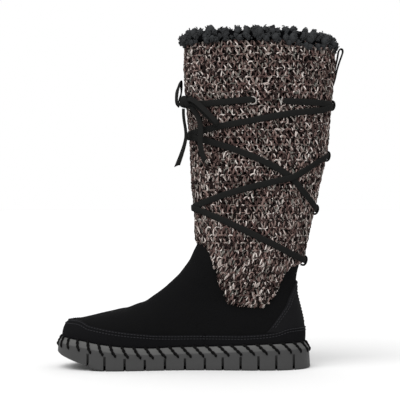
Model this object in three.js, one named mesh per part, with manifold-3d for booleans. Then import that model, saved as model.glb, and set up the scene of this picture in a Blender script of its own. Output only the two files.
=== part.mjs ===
import * as THREE from "three";
import { mergeVertices } from "three/addons/utils/BufferGeometryUtils.js";
import Module from "manifold-3d";

const wasm = await Module();
wasm.setup();

// A right mukluk boot, in millimetres. The toe points along -X and the inner side of the foot is
// at -Y. The origin is on the tread, under the ankle.

// Outsole
const soleLength = 268;
const restFromHeel = 65.6; // from the sole's back edge to the origin
const ballWidth = 101; // across the sole at the ball of the foot
const tipInward = 4; // how far the toe tip lies towards the inner side
const soleThickness = 23.5; // at the waist
const heelLift = 3.8; // added under the heel
const toeLift = 10.1; // added to the sole's top edge at the toe
const toeSpring = 8; // rise of the tread at the toe tip
const toeBlockRise = 18; // underside of the toe block at the tip
const soleFlare = 1.2; // the side wall leans in by this much towards its top
const edgeBevel = 4.2; // width of the sloping band that carries the whipstitches
const edgeBevelDrop = 6.2;
const treadBevel = 1.2;

// Flex grooves of the sole
const heelGroovePitch = 18.5;
const toeGroovePitch = 20.7;
const firstGroovePitch = 17.6; // from the last toe groove to the one behind the toe block
const grooveWidth = 2.2;
const grooveBelowTop = 11; // from the sole's top edge down to the groove's end
const grooveDepth = 4; // across the tread
const grooveBite = 7; // how far a groove's slope reaches in from the side

// Foot and leg
const instepHeight = 132; // where the suede ends at the front
const widestHeight = 34; // above this the foot narrows to its ridge
const collarHeight = 340; // top edge of the knitted leg
const frontSpread = 11.8; // the collar's front, ahead of the ankle's
const backSpread = 29.5; // the collar's back, behind the ankle's
const ankleWidth = 78;
const collarWidth = 93;

// Walls and layers
const upperWall = 2.4; // suede with its lining
const insoleThickness = 4;
const randThickness = 1.8;
const counterThickness = 1.3;
const knitProud = 3.4; // the knit stands out from the suede
const knitInside = 1;
const gap = 0.3; // between pieces that touch
const randMargin = 0.4; // from the rand to the bevel's inner edge

// Fleece cuff
const cuffHeight = 12;
const cuffOut = 3.6;
const cuffIn = 9;
const lockSize = 6;
const lockPitch = 19;

// Pull loop
const pullWidth = 11;
const pullThickness = 2;
const pullLength = 40;
const pullStandOff = 5.6;
const pullTopBelowCollar = 3;

// Lace
const laceWidth = 5.2;
const laceThickness = 1.7;
const laceOver = 0.5; // how much higher every second strand lies
const laceHole = 6.8;
const laceStub = 3.6; // the lace drawn together where it goes through a hole
const loopWidth = 7;
const loopThickness = 1.5;
const loopHalfHeight = 5.4; // room for the lace inside a loop
const loopReach = 3.4;
const bowDiameter = 3.6;
const knotSize = 13;

// Fineness of the curved forms
const turnSteps = 32;
const ridgeStep = 15;
const legSteps = 6;

const heelX = restFromHeel;
const toeX = restFromHeel - soleLength;
const upperMargin = soleFlare + edgeBevel + randMargin + randThickness + gap;
const farOut = 400;

// Plan of the sole. along runs from toe to heel; each half width is a share of ballWidth that is
// multiplied by the half circle's own width there, so the ends come out round.
const plan = [
  { along: 0, inner: 0.64, outer: 0.8 },
  { along: 0.05, inner: 0.65, outer: 0.815 },
  { along: 0.1, inner: 0.6, outer: 0.785 },
  { along: 0.18, inner: 0.56, outer: 0.715 },
  { along: 0.27, inner: 0.49, outer: 0.625 },
  { along: 0.36, inner: 0.425, outer: 0.545 },
  { along: 0.46, inner: 0.372, outer: 0.468 },
  { along: 0.55, inner: 0.362, outer: 0.432 },
  { along: 0.65, inner: 0.39, outer: 0.43 },
  { along: 0.75, inner: 0.452, outer: 0.465 },
  { along: 0.84, inner: 0.53, outer: 0.535 },
  { along: 0.92, inner: 0.62, outer: 0.62 },
  { along: 1, inner: 0.73, outer: 0.73 },
];

// Top edge of the sole: shares of toeLift and heelLift.
const soleTopShares = [
  { along: 0, toe: 1.02, heel: 0 },
  { along: 0.09, toe: 0.73, heel: 0 },
  { along: 0.18, toe: 0.33, heel: 0 },
  { along: 0.28, toe: 0.03, heel: 0 },
  { along: 0.38, toe: -0.1, heel: 0 },
  { along: 0.49, toe: 0, heel: 0 },
  { along: 0.57, toe: 0, heel: 0.1 },
  { along: 0.68, toe: 0, heel: 0.37 },
  { along: 0.8, toe: 0, heel: 0.71 },
  { along: 0.92, toe: 0, heel: 1 },
  { along: 1, toe: 0, heel: 1 },
];

// Tread under the toe, as a share of toeSpring.
const springShares = [
  { along: 0, rise: 1 },
  { along: 0.09, rise: 0.72 },
  { along: 0.145, rise: 0.31 },
  { along: 0.175, rise: 0.09 },
  { along: 0.225, rise: 0 },
  { along: 1, rise: 0 },
];

// Foot on its centre line: rise is a share of instepHeight, front and back are shares of
// soleLength from the sole's back edge.
const footProfile = [
  { rise: 0.18, front: 0.9743, back: 0.0272 },
  { rise: 0.263, front: 0.9731, back: 0.0257 },
  { rise: 0.317, front: 0.9675, back: 0.0261 },
  { rise: 0.357, front: 0.9575, back: 0.0284 },
  { rise: 0.376, front: 0.9444, back: 0.0299 },
  { rise: 0.389, front: 0.9209, back: 0.031 },
  { rise: 0.437, front: 0.8164, back: 0.0362 },
  { rise: 0.486, front: 0.7112, back: 0.0422 },
  { rise: 0.534, front: 0.6511, back: 0.0481 },
  { rise: 0.583, front: 0.6127, back: 0.0537 },
  { rise: 0.63, front: 0.581, back: 0.056 },
  { rise: 0.679, front: 0.5534, back: 0.056 },
  { rise: 0.727, front: 0.5291, back: 0.0545 },
  { rise: 0.776, front: 0.5075, back: 0.05 },
  { rise: 0.823, front: 0.4903, back: 0.0437 },
  { rise: 0.872, front: 0.4765, back: 0.0373 },
  { rise: 0.92, front: 0.4634, back: 0.0317 },
  { rise: 1, front: 0.4433, back: 0.0235 },
];

// Leg: rise is a share of the way from instep to collar, front, back and wide are shares of the
// way from the ankle's size to the collar's.
const legProfile = [
  { rise: 0, front: 0, back: 0, wide: 0 },
  { rise: 0.1, front: 0.05, back: 0.15, wide: 0.14 },
  { rise: 0.2, front: 0.14, back: 0.32, wide: 0.3 },
  { rise: 0.3, front: 0.35, back: 0.46, wide: 0.46 },
  { rise: 0.4, front: 0.41, back: 0.63, wide: 0.6 },
  { rise: 0.5, front: 0.46, back: 0.755, wide: 0.71 },
  { rise: 0.6, front: 0.66, back: 0.81, wide: 0.8 },
  { rise: 0.7, front: 0.77, back: 0.865, wide: 0.87 },
  { rise: 0.8, front: 0.95, back: 0.935, wide: 0.93 },
  { rise: 0.9, front: 1, back: 1, wide: 0.97 },
  { rise: 1, front: 1, back: 1, wide: 1 },
];

// Seam between knit and suede, seen from the side: along runs from the ankle's front to its back,
// rise is a share of instepHeight.
const knitSeam = [
  { along: 0, rise: 0.997 },
  { along: 0.055, rise: 0.982 },
  { along: 0.097, rise: 0.934 },
  { along: 0.131, rise: 0.862 },
  { along: 0.178, rise: 0.707 },
  { along: 0.224, rise: 0.615 },
  { along: 0.283, rise: 0.527 },
  { along: 0.363, rise: 0.5 },
  { along: 0.496, rise: 0.495 },
  { along: 0.602, rise: 0.502 },
  { along: 0.68, rise: 0.548 },
  { along: 0.755, rise: 0.668 },
  { along: 0.82, rise: 0.775 },
  { along: 0.879, rise: 0.818 },
  { along: 0.965, rise: 0.832 },
];

// Top edge of the rand, seen from the side: along runs from toe to heel, rise is a share of
// instepHeight.
const randTop = [
  { along: 0.053, rise: 0.379 },
  { along: 0.1, rise: 0.374 },
  { along: 0.137, rise: 0.347 },
  { along: 0.17, rise: 0.332 },
  { along: 0.225, rise: 0.313 },
  { along: 0.337, rise: 0.286 },
  { along: 0.463, rise: 0.272 },
  { along: 0.7, rise: 0.272 },
  { along: 0.783, rise: 0.279 },
  { along: 0.857, rise: 0.297 },
  { along: 0.914, rise: 0.33 },
  { along: 0.955, rise: 0.334 },
];

// Front seam of the heel counter, seen from the side, from its top down.
const counterSeam = [
  { along: 0.942, rise: 0.698 },
  { along: 0.93, rise: 0.645 },
  { along: 0.913, rise: 0.57 },
  { along: 0.897, rise: 0.496 },
  { along: 0.878, rise: 0.439 },
  { along: 0.859, rise: 0.385 },
  { along: 0.84, rise: 0.333 },
  { along: 0.82, rise: 0.289 },
];

// Lace strands, seen from the side, as heights at the leg's front and back edges (shares of the
// way from instep to collar). The strands of one side cross where their lines do.
const innerStrands = [
  { front: 0.178, back: -0.086 },
  { front: 0.186, back: 0.445 },
  { front: 0.532, back: 0.174 },
  { front: 0.562, back: 0.695 },
];
const outerStrands = [
  { front: 0.532, back: 0.695 },
  { front: 0.548, back: 0.445 },
  { front: 0.176, back: 0.174 },
  { front: 0.186, back: -0.086 },
];
const topStrandRise = 0.708;
const laceHoleAlong = [0.449, 0.667]; // shares of the leg's depth from its front
const loopRises = [-0.086, 0.174, 0.445, 0.702];

// Bow, points in millimetres in the boot's own frame
const knotCentre = [-66.5, -23.8, 279.5];
const bowFrontRoute = [
  [-73, -19.8, 276],
  [-75.6, -16, 279],
  [-76, -11, 285],
  [-75.4, -6, 292],
  [-73.6, 0, 298.5],
  [-72.6, 6, 302.5],
  [-71.6, 11.5, 301],
  [-71.2, 13.5, 295],
  [-71.8, 10, 288.5],
  [-73.2, 2.5, 284],
  [-73.6, -6, 281.6],
  [-73.4, -13.6, 281.8],
];
const bowSideRoute = [
  [-61.2, -29.4, 278.2],
  [-57, -32, 276.6],
  [-52, -37.4, 272],
  [-46, -41.5, 266],
  [-40, -45.2, 260],
  [-35.4, -48.4, 255.4],
  [-32.6, -52.2, 253.6],
  [-33.6, -55.6, 255.4],
  [-38, -54.8, 260.4],
  [-44, -50.8, 266.8],
  [-50, -46, 273],
  [-56, -40, 278.6],
  [-60.4, -34.4, 281.6],
  [-63.6, -30.4, 282.6],
];
const endFrontRoute = [
  [-68.6, -24.4, 272.4],
  [-68.6, -23.8, 266],
  [-67.8, -23, 259],
  [-66.6, -22, 252],
  [-66, -21, 243.5],
  [-67.4, -20, 235.5],
  [-69.8, -19, 227.5],
  [-72.8, -17.6, 219],
  [-75.2, -16.5, 212.8],
];
const endSideRoute = [
  [-61.4, -28.2, 274.6],
  [-57.8, -31.8, 270],
  [-53.6, -35.6, 263.4],
  [-51, -39, 255],
  [-50.6, -41.4, 245],
  [-51.2, -42, 235],
  [-49.6, -42.4, 226],
  [-46.4, -43, 217],
];

const shared = {
  rubber: { color: 0x4b4b4b, roughness: 0.75, metalness: 0 },
  suede: { color: 0x17171a, roughness: 0.95, metalness: 0 },
  knit: { color: 0x564c4a, roughness: 0.95, metalness: 0 },
  fleece: { color: 0x1d1d20, roughness: 1, metalness: 0 },
  thong: { color: 0x121110, roughness: 0.9, metalness: 0 },
  footbed: { color: 0x2c2a2a, roughness: 0.9, metalness: 0 },
};

// A smooth curve through one column of a table, read at a place in another column. It passes
// through every row and never overshoots between two of them.
function follow(rows, across, value) {
  const xs = rows.map((row) => row[across]);
  const ys = rows.map((row) => row[value]);
  const last = xs.length - 1;
  const slopes = [];
  for (let i = 0; i < last; i++) slopes.push((ys[i + 1] - ys[i]) / (xs[i + 1] - xs[i]));
  const tangents = [slopes[0]];
  for (let i = 1; i < last; i++) {
    const [a, b] = [slopes[i - 1], slopes[i]];
    tangents.push(a * b <= 0 ? 0 : (2 * a * b) / (a + b));
  }
  tangents.push(slopes[last - 1]);
  return (at) => {
    const x = THREE.MathUtils.clamp(at, xs[0], xs[last]);
    let i = 0;
    while (i < last - 1 && x > xs[i + 1]) i++;
    const width = xs[i + 1] - xs[i];
    const t = (x - xs[i]) / width;
    const rise = t * t * (3 - 2 * t);
    const bend = t * (1 - t);
    const pull = bend * ((1 - t) * tangents[i] - t * tangents[i + 1]) * width;
    return ys[i] + rise * (ys[i + 1] - ys[i]) + pull;
  };
}

const planInner = follow(plan, "along", "inner");
const planOuter = follow(plan, "along", "outer");
const topToe = follow(soleTopShares, "along", "toe");
const topHeel = follow(soleTopShares, "along", "heel");
const springRise = follow(springShares, "along", "rise");
const footFront = follow(footProfile, "rise", "front");
const footBack = follow(footProfile, "rise", "back");
const legFront = follow(legProfile, "rise", "front");
const legBack = follow(legProfile, "rise", "back");
const legWide = follow(legProfile, "rise", "wide");

const ankleFrontX = heelX - footFront(1) * soleLength;
const ankleBackX = heelX - footBack(1) * soleLength;
const legHeight = collarHeight - instepHeight;

function alongSole(x) {
  return THREE.MathUtils.clamp((x - toeX) / soleLength, 0, 1);
}

function soleTop(x) {
  const along = alongSole(x);
  return soleThickness + toeLift * topToe(along) + heelLift * topHeel(along);
}

function treadHeight(x) {
  return toeSpring * springRise(alongSole(x));
}

// The centre line of the foot swings to the inner side towards the toe.
function centreY(x) {
  const share = THREE.MathUtils.smoothstep(0.5 - alongSole(x), 0, 0.5);
  return -tipInward * share;
}

// Half width of the sole's outline at x, drawn in by inset all round. side is -1 for the inner
// side of the foot and 1 for the outer side.
function soleHalfWidth(x, side, inset) {
  const along = THREE.MathUtils.clamp((x - toeX - inset) / (soleLength - 2 * inset), 0, 1);
  const share = side < 0 ? planInner(along) : planOuter(along);
  return (share * ballWidth - inset) * 2 * Math.sqrt(along * (1 - along));
}

function frontX(height) {
  if (height <= instepHeight) return heelX - footFront(height / instepHeight) * soleLength;
  return ankleFrontX - legFront((height - instepHeight) / legHeight) * frontSpread;
}

function backX(height) {
  if (height <= instepHeight) return heelX - footBack(height / instepHeight) * soleLength;
  return ankleBackX + legBack((height - instepHeight) / legHeight) * backSpread;
}

// Height of the foot's ridge at x. Behind the ankle's front it goes on rising steeply.
function ridgeHeight(x) {
  const behindAnkle = 3;
  if (x >= ankleFrontX) return instepHeight + behindAnkle * (x - ankleFrontX);
  let low = 0;
  let high = instepHeight;
  for (let i = 0; i < 30; i++) {
    const middle = (low + high) / 2;
    if (frontX(middle) < x) low = middle;
    else high = middle;
  }
  return low;
}

// Half width of the foot at x and height: the sole's plan drawn in and fitted between the foot's
// own ends, narrowing over a rounded crown.
function footHalfWidth(x, height, side) {
  const waistX = heelX - 0.4 * soleLength;
  const end = x > waistX ? backX(height) : frontX(0);
  const planEnd = x > waistX ? heelX - upperMargin : toeX + upperMargin;
  const planX = waistX + (x - waistX) * ((planEnd - waistX) / (end - waistX));
  const half = soleHalfWidth(planX, side, upperMargin);
  if (height <= widestHeight) return half;
  const top = ridgeHeight(x);
  const drop = THREE.MathUtils.clamp((top - height) / (top - widestHeight), 0, 1);
  const crown = (1 - (1 - drop) ** 2.3) ** (1 / 2.2);
  return half * crown;
}

// A point of the boot's form. turn goes once round from the toe by the inner side to the heel
// and back by the outer side.
function formPoint(turn, height) {
  const angle = 2 * Math.PI * turn;
  const front = frontX(height);
  const x = front + ((1 - Math.cos(angle)) / 2) * (backX(height) - front);
  const reach = Math.sin(angle);
  const side = reach > 0 ? -1 : 1;
  const rise = THREE.MathUtils.clamp((height - instepHeight) / legHeight, 0, 1);
  const legHalf = (ankleWidth + legWide(rise) * (collarWidth - ankleWidth)) / 2;
  const squareness = 1 + 0.12 * Math.cos(angle) ** 2;
  const oval = legHalf * Math.abs(reach) * squareness;
  const foot = footHalfWidth(x, height, side);
  const share = THREE.MathUtils.smoothstep(height, 0.5 * instepHeight, 0.95 * instepHeight);
  const half = Math.abs(reach) < 1e-9 ? 0 : THREE.MathUtils.lerp(foot, oval, share);
  return new THREE.Vector3(x, centreY(x) + side * half, height);
}

// The same point moved out from the form's surface, or in where outward is negative.
function layerPoint(turn, height, outward) {
  const turnStep = 0.002;
  const heightStep = 0.3;
  const here = formPoint(turn, height);
  const round = formPoint(turn + turnStep, height).sub(formPoint(turn - turnStep, height));
  const up = formPoint(turn, height + heightStep).sub(formPoint(turn, height - heightStep));
  return here.addScaledVector(round.cross(up).normalize(), outward);
}

// Heights of the form's sections, closer together where the foot's ridge runs nearly level.
function sectionHeights() {
  const heights = [0.08 * instepHeight];
  for (let i = 0; i < footProfile.length - 1; i++) {
    const low = footProfile[i].rise * instepHeight;
    const high = footProfile[i + 1].rise * instepHeight;
    const run = Math.hypot(frontX(high) - frontX(low), high - low);
    const steps = Math.ceil(run / ridgeStep);
    for (let k = 0; k < steps; k++) heights.push(low + ((high - low) * k) / steps);
  }
  const legStep = legHeight / (legSteps - 0.4);
  for (let i = 0; i <= legSteps; i++) heights.push(instepHeight + legStep * i);
  return heights;
}

// Rings of points joined into one closed solid.
function ringSolid(rings) {
  const count = rings[0].length;
  const points = rings.flat();
  const faces = [];
  for (let i = 0; i < rings.length - 1; i++) {
    for (let j = 0; j < count; j++) {
      const a = i * count + j;
      const b = i * count + ((j + 1) % count);
      faces.push(a, b, b + count, a, b + count, a + count);
    }
  }
  // Each end is closed by strips between the two sides
  const top = (rings.length - 1) * count;
  for (let j = 0; j < count / 2; j++) {
    const k = (count - j) % count;
    const next = j + 1;
    const before = k === 0 ? count - 1 : k - 1;
    if (k !== j) faces.push(j, k, before, top + j, top + before, top + k);
    if (next !== before) faces.push(j, before, next, top + j, top + next, top + before);
  }
  const geometry = new THREE.BufferGeometry();
  geometry.setAttribute("position", new THREE.Float32BufferAttribute(
    points.flatMap((point) => [point.x, point.y, point.z]), 3));
  geometry.setIndex(faces);
  return toSolid(geometry);
}

function toSolid(geometry) {
  const bare = geometry.clone();
  bare.deleteAttribute("normal");
  bare.deleteAttribute("uv");
  const merged = mergeVertices(bare, 1e-4);
  const solid = new wasm.Manifold(new wasm.Mesh({
    numProp: 3,
    vertProperties: merged.getAttribute("position").array,
    triVerts: Uint32Array.from(merged.index.array),
  }));
  if (solid.isEmpty()) throw new Error("a piece came out empty");
  return solid;
}

function toGeometry(solid) {
  const mesh = solid.getMesh();
  const geometry = new THREE.BufferGeometry();
  geometry.setAttribute("position", new THREE.Float32BufferAttribute(mesh.vertProperties, 3));
  geometry.setIndex(Array.from(mesh.triVerts));
  return geometry;
}

const heights = sectionHeights();
const layers = new Map();

// The whole form as a solid, moved out by outward.
function formSolid(outward) {
  if (!layers.has(outward)) {
    layers.set(outward, ringSolid(heights.map((height) =>
      Array.from({ length: turnSteps }, (_, j) => layerPoint(j / turnSteps, height, outward)))));
  }
  return layers.get(outward);
}

// A shell of the form between two layers.
function shell(inner, outer) {
  return formSolid(outer).subtract(formSolid(inner));
}

// A side view outline, in x and z, pushed through the boot from yFrom to yTo.
function sidePrism(points, yFrom = -farOut, yTo = farOut) {
  const shape = new THREE.Shape(points.map(([x, z]) => new THREE.Vector2(x, z)));
  return outlinePrism(shape, yFrom, yTo);
}

function outlinePrism(shape, yFrom, yTo) {
  const geometry = new THREE.ExtrudeGeometry(shape, { depth: yTo - yFrom, bevelEnabled: false });
  geometry.rotateX(Math.PI / 2);
  geometry.translate(0, yTo, 0);
  return toSolid(geometry);
}

// A smooth open line through side view points.
function smoothLine(points, steps) {
  const curve = new THREE.SplineCurve(points.map(([x, z]) => new THREE.Vector2(x, z)));
  return curve.getPoints(steps).map((point) => [point.x, point.y]);
}

// A side view line moved square to itself, to the left of its direction.
function movedLine(points, distance) {
  return points.map((point, i) => {
    const before = points[Math.max(i - 1, 0)];
    const after = points[Math.min(i + 1, points.length - 1)];
    const [dx, dz] = [after[0] - before[0], after[1] - before[1]];
    const length = Math.hypot(dx, dz);
    return [point[0] - (dz / length) * distance, point[1] + (dx / length) * distance];
  });
}

function soleTopLine(clearance) {
  const points = [];
  for (let i = 0; i <= 16; i++) {
    const x = toeX + (soleLength * i) / 16;
    points.push([x, soleTop(x) + clearance]);
  }
  return [[-farOut, points[0][1]], ...points, [farOut, points[16][1]]];
}

const ankleSpan = ankleBackX - ankleFrontX;
const seamLine = smoothLine(knitSeam.map((row) =>
  [ankleFrontX + row.along * ankleSpan, row.rise * instepHeight]), 28);
const randLine = smoothLine(randTop.map((row) =>
  [toeX + row.along * soleLength, row.rise * instepHeight]), 22);
const counterLine = smoothLine(counterSeam.map((row) =>
  [toeX + row.along * soleLength, row.rise * instepHeight]), 10);

function makeOutsole() {
  const ring = (inset, heightAt) => Array.from({ length: turnSteps * 2 }, (_, j) => {
    const angle = (Math.PI * j) / turnSteps;
    const x = toeX + inset + ((1 - Math.cos(angle)) / 2) * (soleLength - 2 * inset);
    const side = Math.sin(angle) > 0 ? -1 : 1;
    const half = j % turnSteps === 0 ? 0 : soleHalfWidth(x, side, inset);
    return new THREE.Vector3(x, centreY(x) + side * half, heightAt(x));
  });
  const block = ringSolid([
    ring(treadBevel, treadHeight),
    ring(0, (x) => treadHeight(x) + treadBevel),
    ring(soleFlare, (x) => soleTop(x) - edgeBevelDrop),
    ring(soleFlare + edgeBevel, soleTop),
  ]);
  const grooves = groovePlaces().map(makeGroove);
  const firstX = Math.min(...groovePlaces());
  const underToe = sidePrism([
    [firstX, -toeBlockRise],
    [firstX, treadHeight(firstX) + 1.2],
    [toeX + 0.025 * soleLength, 0.8 * toeBlockRise],
    [toeX, toeBlockRise],
    [toeX - farOut, toeBlockRise],
    [toeX - farOut, -toeBlockRise],
  ]);
  return toGeometry(block.subtract(underToe).subtract(wasm.Manifold.union(grooves)));
}

// The grooves lie evenly on both sides of the origin under the heel, then at the toe's pitch.
function groovePlaces() {
  const places = [];
  for (let i = -3; i < 3; i++) places.push((i + 0.5) * heelGroovePitch);
  const lastHeel = -2.5 * heelGroovePitch;
  for (let i = 1; i <= 5; i++) places.push(lastHeel - i * toeGroovePitch);
  places.push(lastHeel - 5 * toeGroovePitch - firstGroovePitch);
  return places;
}

// A groove runs across the tread and slopes up to its end on each side wall.
function makeGroove(x) {
  const inner = centreY(x) - soleHalfWidth(x, -1, 0);
  const outer = centreY(x) + soleHalfWidth(x, 1, 0);
  const end = soleTop(x) - grooveBelowTop;
  const floor = treadHeight(x) + grooveDepth;
  const past = 5;
  const shape = new THREE.Shape([
    [inner - past, -past],
    [outer + past, -past],
    [outer + past, end],
    [outer - soleFlare - 0.8, end],
    [outer - grooveBite, floor],
    [inner + grooveBite, floor],
    [inner + soleFlare + 0.8, end],
    [inner - past, end],
  ].map(([y, z]) => new THREE.Vector2(y, z)));
  const geometry = new THREE.ExtrudeGeometry(shape, { depth: grooveWidth, bevelEnabled: false });
  geometry.rotateX(Math.PI / 2);
  geometry.rotateZ(Math.PI / 2);
  geometry.translate(x - grooveWidth / 2, 0, 0);
  return toSolid(geometry);
}

function makeInsole() {
  const lower = soleTopLine(gap);
  const upper = soleTopLine(gap + insoleThickness).reverse();
  const inside = formSolid(-(upperWall + gap));
  return toGeometry(inside.intersect(sidePrism([...lower, ...upper])));
}

function makeUpper() {
  const region = sidePrism([
    ...soleTopLine(gap),
    [farOut, seamLine.at(-1)[1]],
    ...[...seamLine].reverse(),
    [-farOut, seamLine[0][1]],
  ]);
  return toGeometry(shell(-upperWall, 0).intersect(region));
}

function makeRand() {
  const region = sidePrism([
    ...soleTopLine(gap),
    [farOut, randLine.at(-1)[1]],
    ...[...randLine].reverse(),
    [-farOut, randLine[0][1]],
  ]);
  return toGeometry(shell(gap, gap + randThickness).intersect(region));
}

function makeHeelCounter() {
  const aboveRand = movedLine(randLine, gap);
  const lowest = counterLine.at(-1);
  const region = sidePrism([
    [farOut, counterLine[0][1]],
    ...counterLine,
    ...aboveRand.filter(([x]) => x > lowest[0] + gap),
    [farOut, aboveRand.at(-1)[1]],
  ]);
  return toGeometry(shell(gap, gap + counterThickness).intersect(region));
}

// The place of a lace hole, on the leg's side view.
function holePlace(along) {
  const height = instepHeight + topStrandRise * legHeight;
  return [THREE.MathUtils.lerp(frontX(height), backX(height), along), height];
}

function makeShaft() {
  const edge = movedLine(seamLine, gap);
  const region = sidePrism([
    [-farOut, edge[0][1]],
    ...edge,
    [farOut, edge.at(-1)[1]],
    [farOut, collarHeight],
    [-farOut, collarHeight],
  ]);
  const holes = laceHoleAlong.map((along) => {
    const [x, z] = holePlace(along);
    const cutter = new THREE.CylinderGeometry(laceHole / 2, laceHole / 2, collarWidth * 2, 12);
    cutter.translate(x, 0, z);
    return toSolid(cutter);
  });
  const leg = shell(-knitInside, knitProud).intersect(region);
  return toGeometry(leg.subtract(wasm.Manifold.union(holes)));
}

// A repeatable number from 0 to 1 for the place of each lock.
function scatter(index, salt) {
  const value = Math.sin(index * 12.9898 + salt * 78.233) * 43758.5453;
  return value - Math.floor(value);
}

function makeCuff() {
  const base = collarHeight + gap;
  const rollRings = [
    { out: -cuffIn + 1, up: 0 },
    { out: cuffOut, up: 0 },
    { out: cuffOut + 1, up: 0.45 },
    { out: cuffOut - 3, up: 0.9 },
    { out: -cuffIn + 2, up: 0.85 },
    { out: -cuffIn, up: 0.4 },
  ];
  const outer = [];
  const around = Array.from({ length: turnSteps }, (_, j) => j / turnSteps);
  for (const { out, up } of rollRings) {
    outer.push(around.map((turn) => {
      const point = layerPoint(turn, collarHeight, out);
      point.z = base + up * cuffHeight;
      return point;
    }));
  }
  let cuff = tubeSolid(outer);
  const length = around.reduce((sum, turn) =>
    sum + layerPoint(turn, collarHeight, 0).distanceTo(
      layerPoint(turn + 1 / turnSteps, collarHeight, 0)), 0);
  const lockCount = Math.round(length / lockPitch);
  const rows = [
    { out: cuffOut - 1, up: 0.45, size: 0.9 },
    { out: -1.8, up: 0.86, size: 1 },
  ];
  rows.forEach((row, salt) => {
    for (let i = 0; i < lockCount; i++) {
      const turn = (i + 0.7 * scatter(i, salt)) / lockCount;
      const size = lockSize * row.size * (0.8 + 0.35 * scatter(i, salt + 5));
      const lock = new THREE.IcosahedronGeometry(size, 0);
      lock.rotateZ(6 * scatter(i, salt + 9));
      lock.rotateX(6 * scatter(i, salt + 11));
      const centre = layerPoint(turn, collarHeight, row.out);
      lock.scale(0.8, 0.8, 1);
      lock.translate(centre.x, centre.y, base + row.up * cuffHeight);
      cuff = cuff.add(toSolid(lock));
    }
  });
  const above = sidePrism([[-farOut, base], [farOut, base], [farOut, farOut * 2],
    [-farOut, farOut * 2]]);
  return toGeometry(cuff.intersect(above));
}

// Closed loops of points joined into a ring shaped solid.
function tubeSolid(loops) {
  const count = loops[0].length;
  const points = loops.flat();
  const faces = [];
  loops.forEach((_, i) => {
    const next = (i + 1) % loops.length;
    for (let j = 0; j < count; j++) {
      const k = (j + 1) % count;
      const [a, b, c, d] = [i * count + j, i * count + k, next * count + k, next * count + j];
      faces.push(a, b, c, a, c, d);
    }
  });
  const geometry = new THREE.BufferGeometry();
  geometry.setAttribute("position", new THREE.Float32BufferAttribute(
    points.flatMap((point) => [point.x, point.y, point.z]), 3));
  geometry.setIndex(faces);
  return toSolid(geometry);
}

// Place, direction and outward normal on the knit's back line at a height.
function backFrame(height) {
  const step = 2;
  const here = new THREE.Vector2(backX(height), height);
  const above = new THREE.Vector2(backX(height + step), height + step);
  const up = above.sub(here).normalize();
  const out = new THREE.Vector2(up.y, -up.x);
  return { here: here.addScaledVector(out, knitProud), up, out };
}

function backPoint(frame, along, outward) {
  return frame.here.clone().addScaledVector(frame.up, along).addScaledVector(frame.out, outward);
}

// An arch over the lace, its two feet on the knit.
function makeLaceLoop(rise) {
  const frame = backFrame(instepHeight + rise * legHeight);
  const outerHalf = loopHalfHeight + loopThickness;
  const outerReach = loopReach + loopThickness;
  const outline = [
    [-outerHalf, gap],
    [-outerHalf, gap + 0.4 * outerReach],
    [-0.7 * outerHalf, outerReach],
    [0.7 * outerHalf, outerReach],
    [outerHalf, gap + 0.4 * outerReach],
    [outerHalf, gap],
    [loopHalfHeight, gap],
    [loopHalfHeight, gap + 0.5 * loopReach],
    [0.8 * loopHalfHeight, loopReach],
    [-0.8 * loopHalfHeight, loopReach],
    [-loopHalfHeight, gap + 0.5 * loopReach],
    [-loopHalfHeight, gap],
  ].map(([along, outward]) => backPoint(frame, along, outward));
  return toGeometry(outlinePrism(new THREE.Shape(outline), -loopWidth / 2, loopWidth / 2));
}

// A folded strap: its two ends lie on the back seam and its fold stands off with a small eye.
function makePullLoop() {
  const frame = backFrame(collarHeight - pullTopBelowCollar - pullLength / 2);
  const half = pullLength / 2;
  const outer = smoothLine([
    [-half, gap],
    [-half + 1, gap + 1.6 * pullThickness],
    [0, gap + 2 * pullThickness],
    [0.55 * half, pullStandOff],
    [half - 3.4, pullStandOff + 3.4],
    [half - 0.6, pullStandOff + 2.4],
    [half, pullStandOff],
    [half - 1.6, pullStandOff - 2.6],
    [half - 6, pullStandOff - 3.2],
    [0.3 * half, gap + 0.35],
    [0, gap],
  ], 30).map(([along, outward]) => backPoint(frame, along, outward));
  const shape = new THREE.Shape(outer);
  const eye = smoothLine([
    [half - 2.2, pullStandOff + 0.1],
    [half - 3.6, pullStandOff + 1.2],
    [half - 6.4, pullStandOff + 0.7],
    [half - 8.2, pullStandOff - 0.6],
    [half - 6.4, pullStandOff - 1],
    [half - 3.8, pullStandOff - 1],
    [half - 2.2, pullStandOff + 0.1],
  ], 12).slice(0, -1).map(([along, outward]) => backPoint(frame, along, outward));
  shape.holes.push(new THREE.Path(eye));
  return toGeometry(outlinePrism(shape, -pullWidth / 2, pullWidth / 2));
}

// A flat band on the leg. It runs from one turn to another and from one height to the other, and
// lies between two layers. It bends where the form's own columns do.
function makeBand(fromTurn, toTurn, fromHeight, toHeight, inner, outer, width = laceWidth) {
  const past = 1e-6;
  const turns = [fromTurn];
  for (let j = Math.ceil(fromTurn * turnSteps + past); j < toTurn * turnSteps - past; j++) {
    turns.push(j / turnSteps);
  }
  turns.push(toTurn);
  const depthShare = (turn) => (1 - Math.cos(2 * Math.PI * turn)) / 2;
  const [fromShare, toShare] = [depthShare(fromTurn), depthShare(toTurn)];
  const heightAt = (turn) => {
    if (fromHeight === toHeight) return fromHeight;
    const share = (depthShare(turn) - fromShare) / (toShare - fromShare);
    return THREE.MathUtils.lerp(fromHeight, toHeight, share);
  };
  return ringSolid(turns.map((turn) => {
    const nearby = 0.004;
    const height = heightAt(turn);
    const run = formPoint(turn + nearby, height).distanceTo(formPoint(turn - nearby, height));
    const climb = heightAt(turn + nearby) - heightAt(turn - nearby);
    const half = (width / 2) * Math.hypot(1, climb / run);
    return [
      layerPoint(turn, height - half, inner),
      layerPoint(turn, height + half, inner),
      layerPoint(turn, height + half, outer),
      layerPoint(turn, height - half, outer),
    ];
  }));
}

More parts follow.
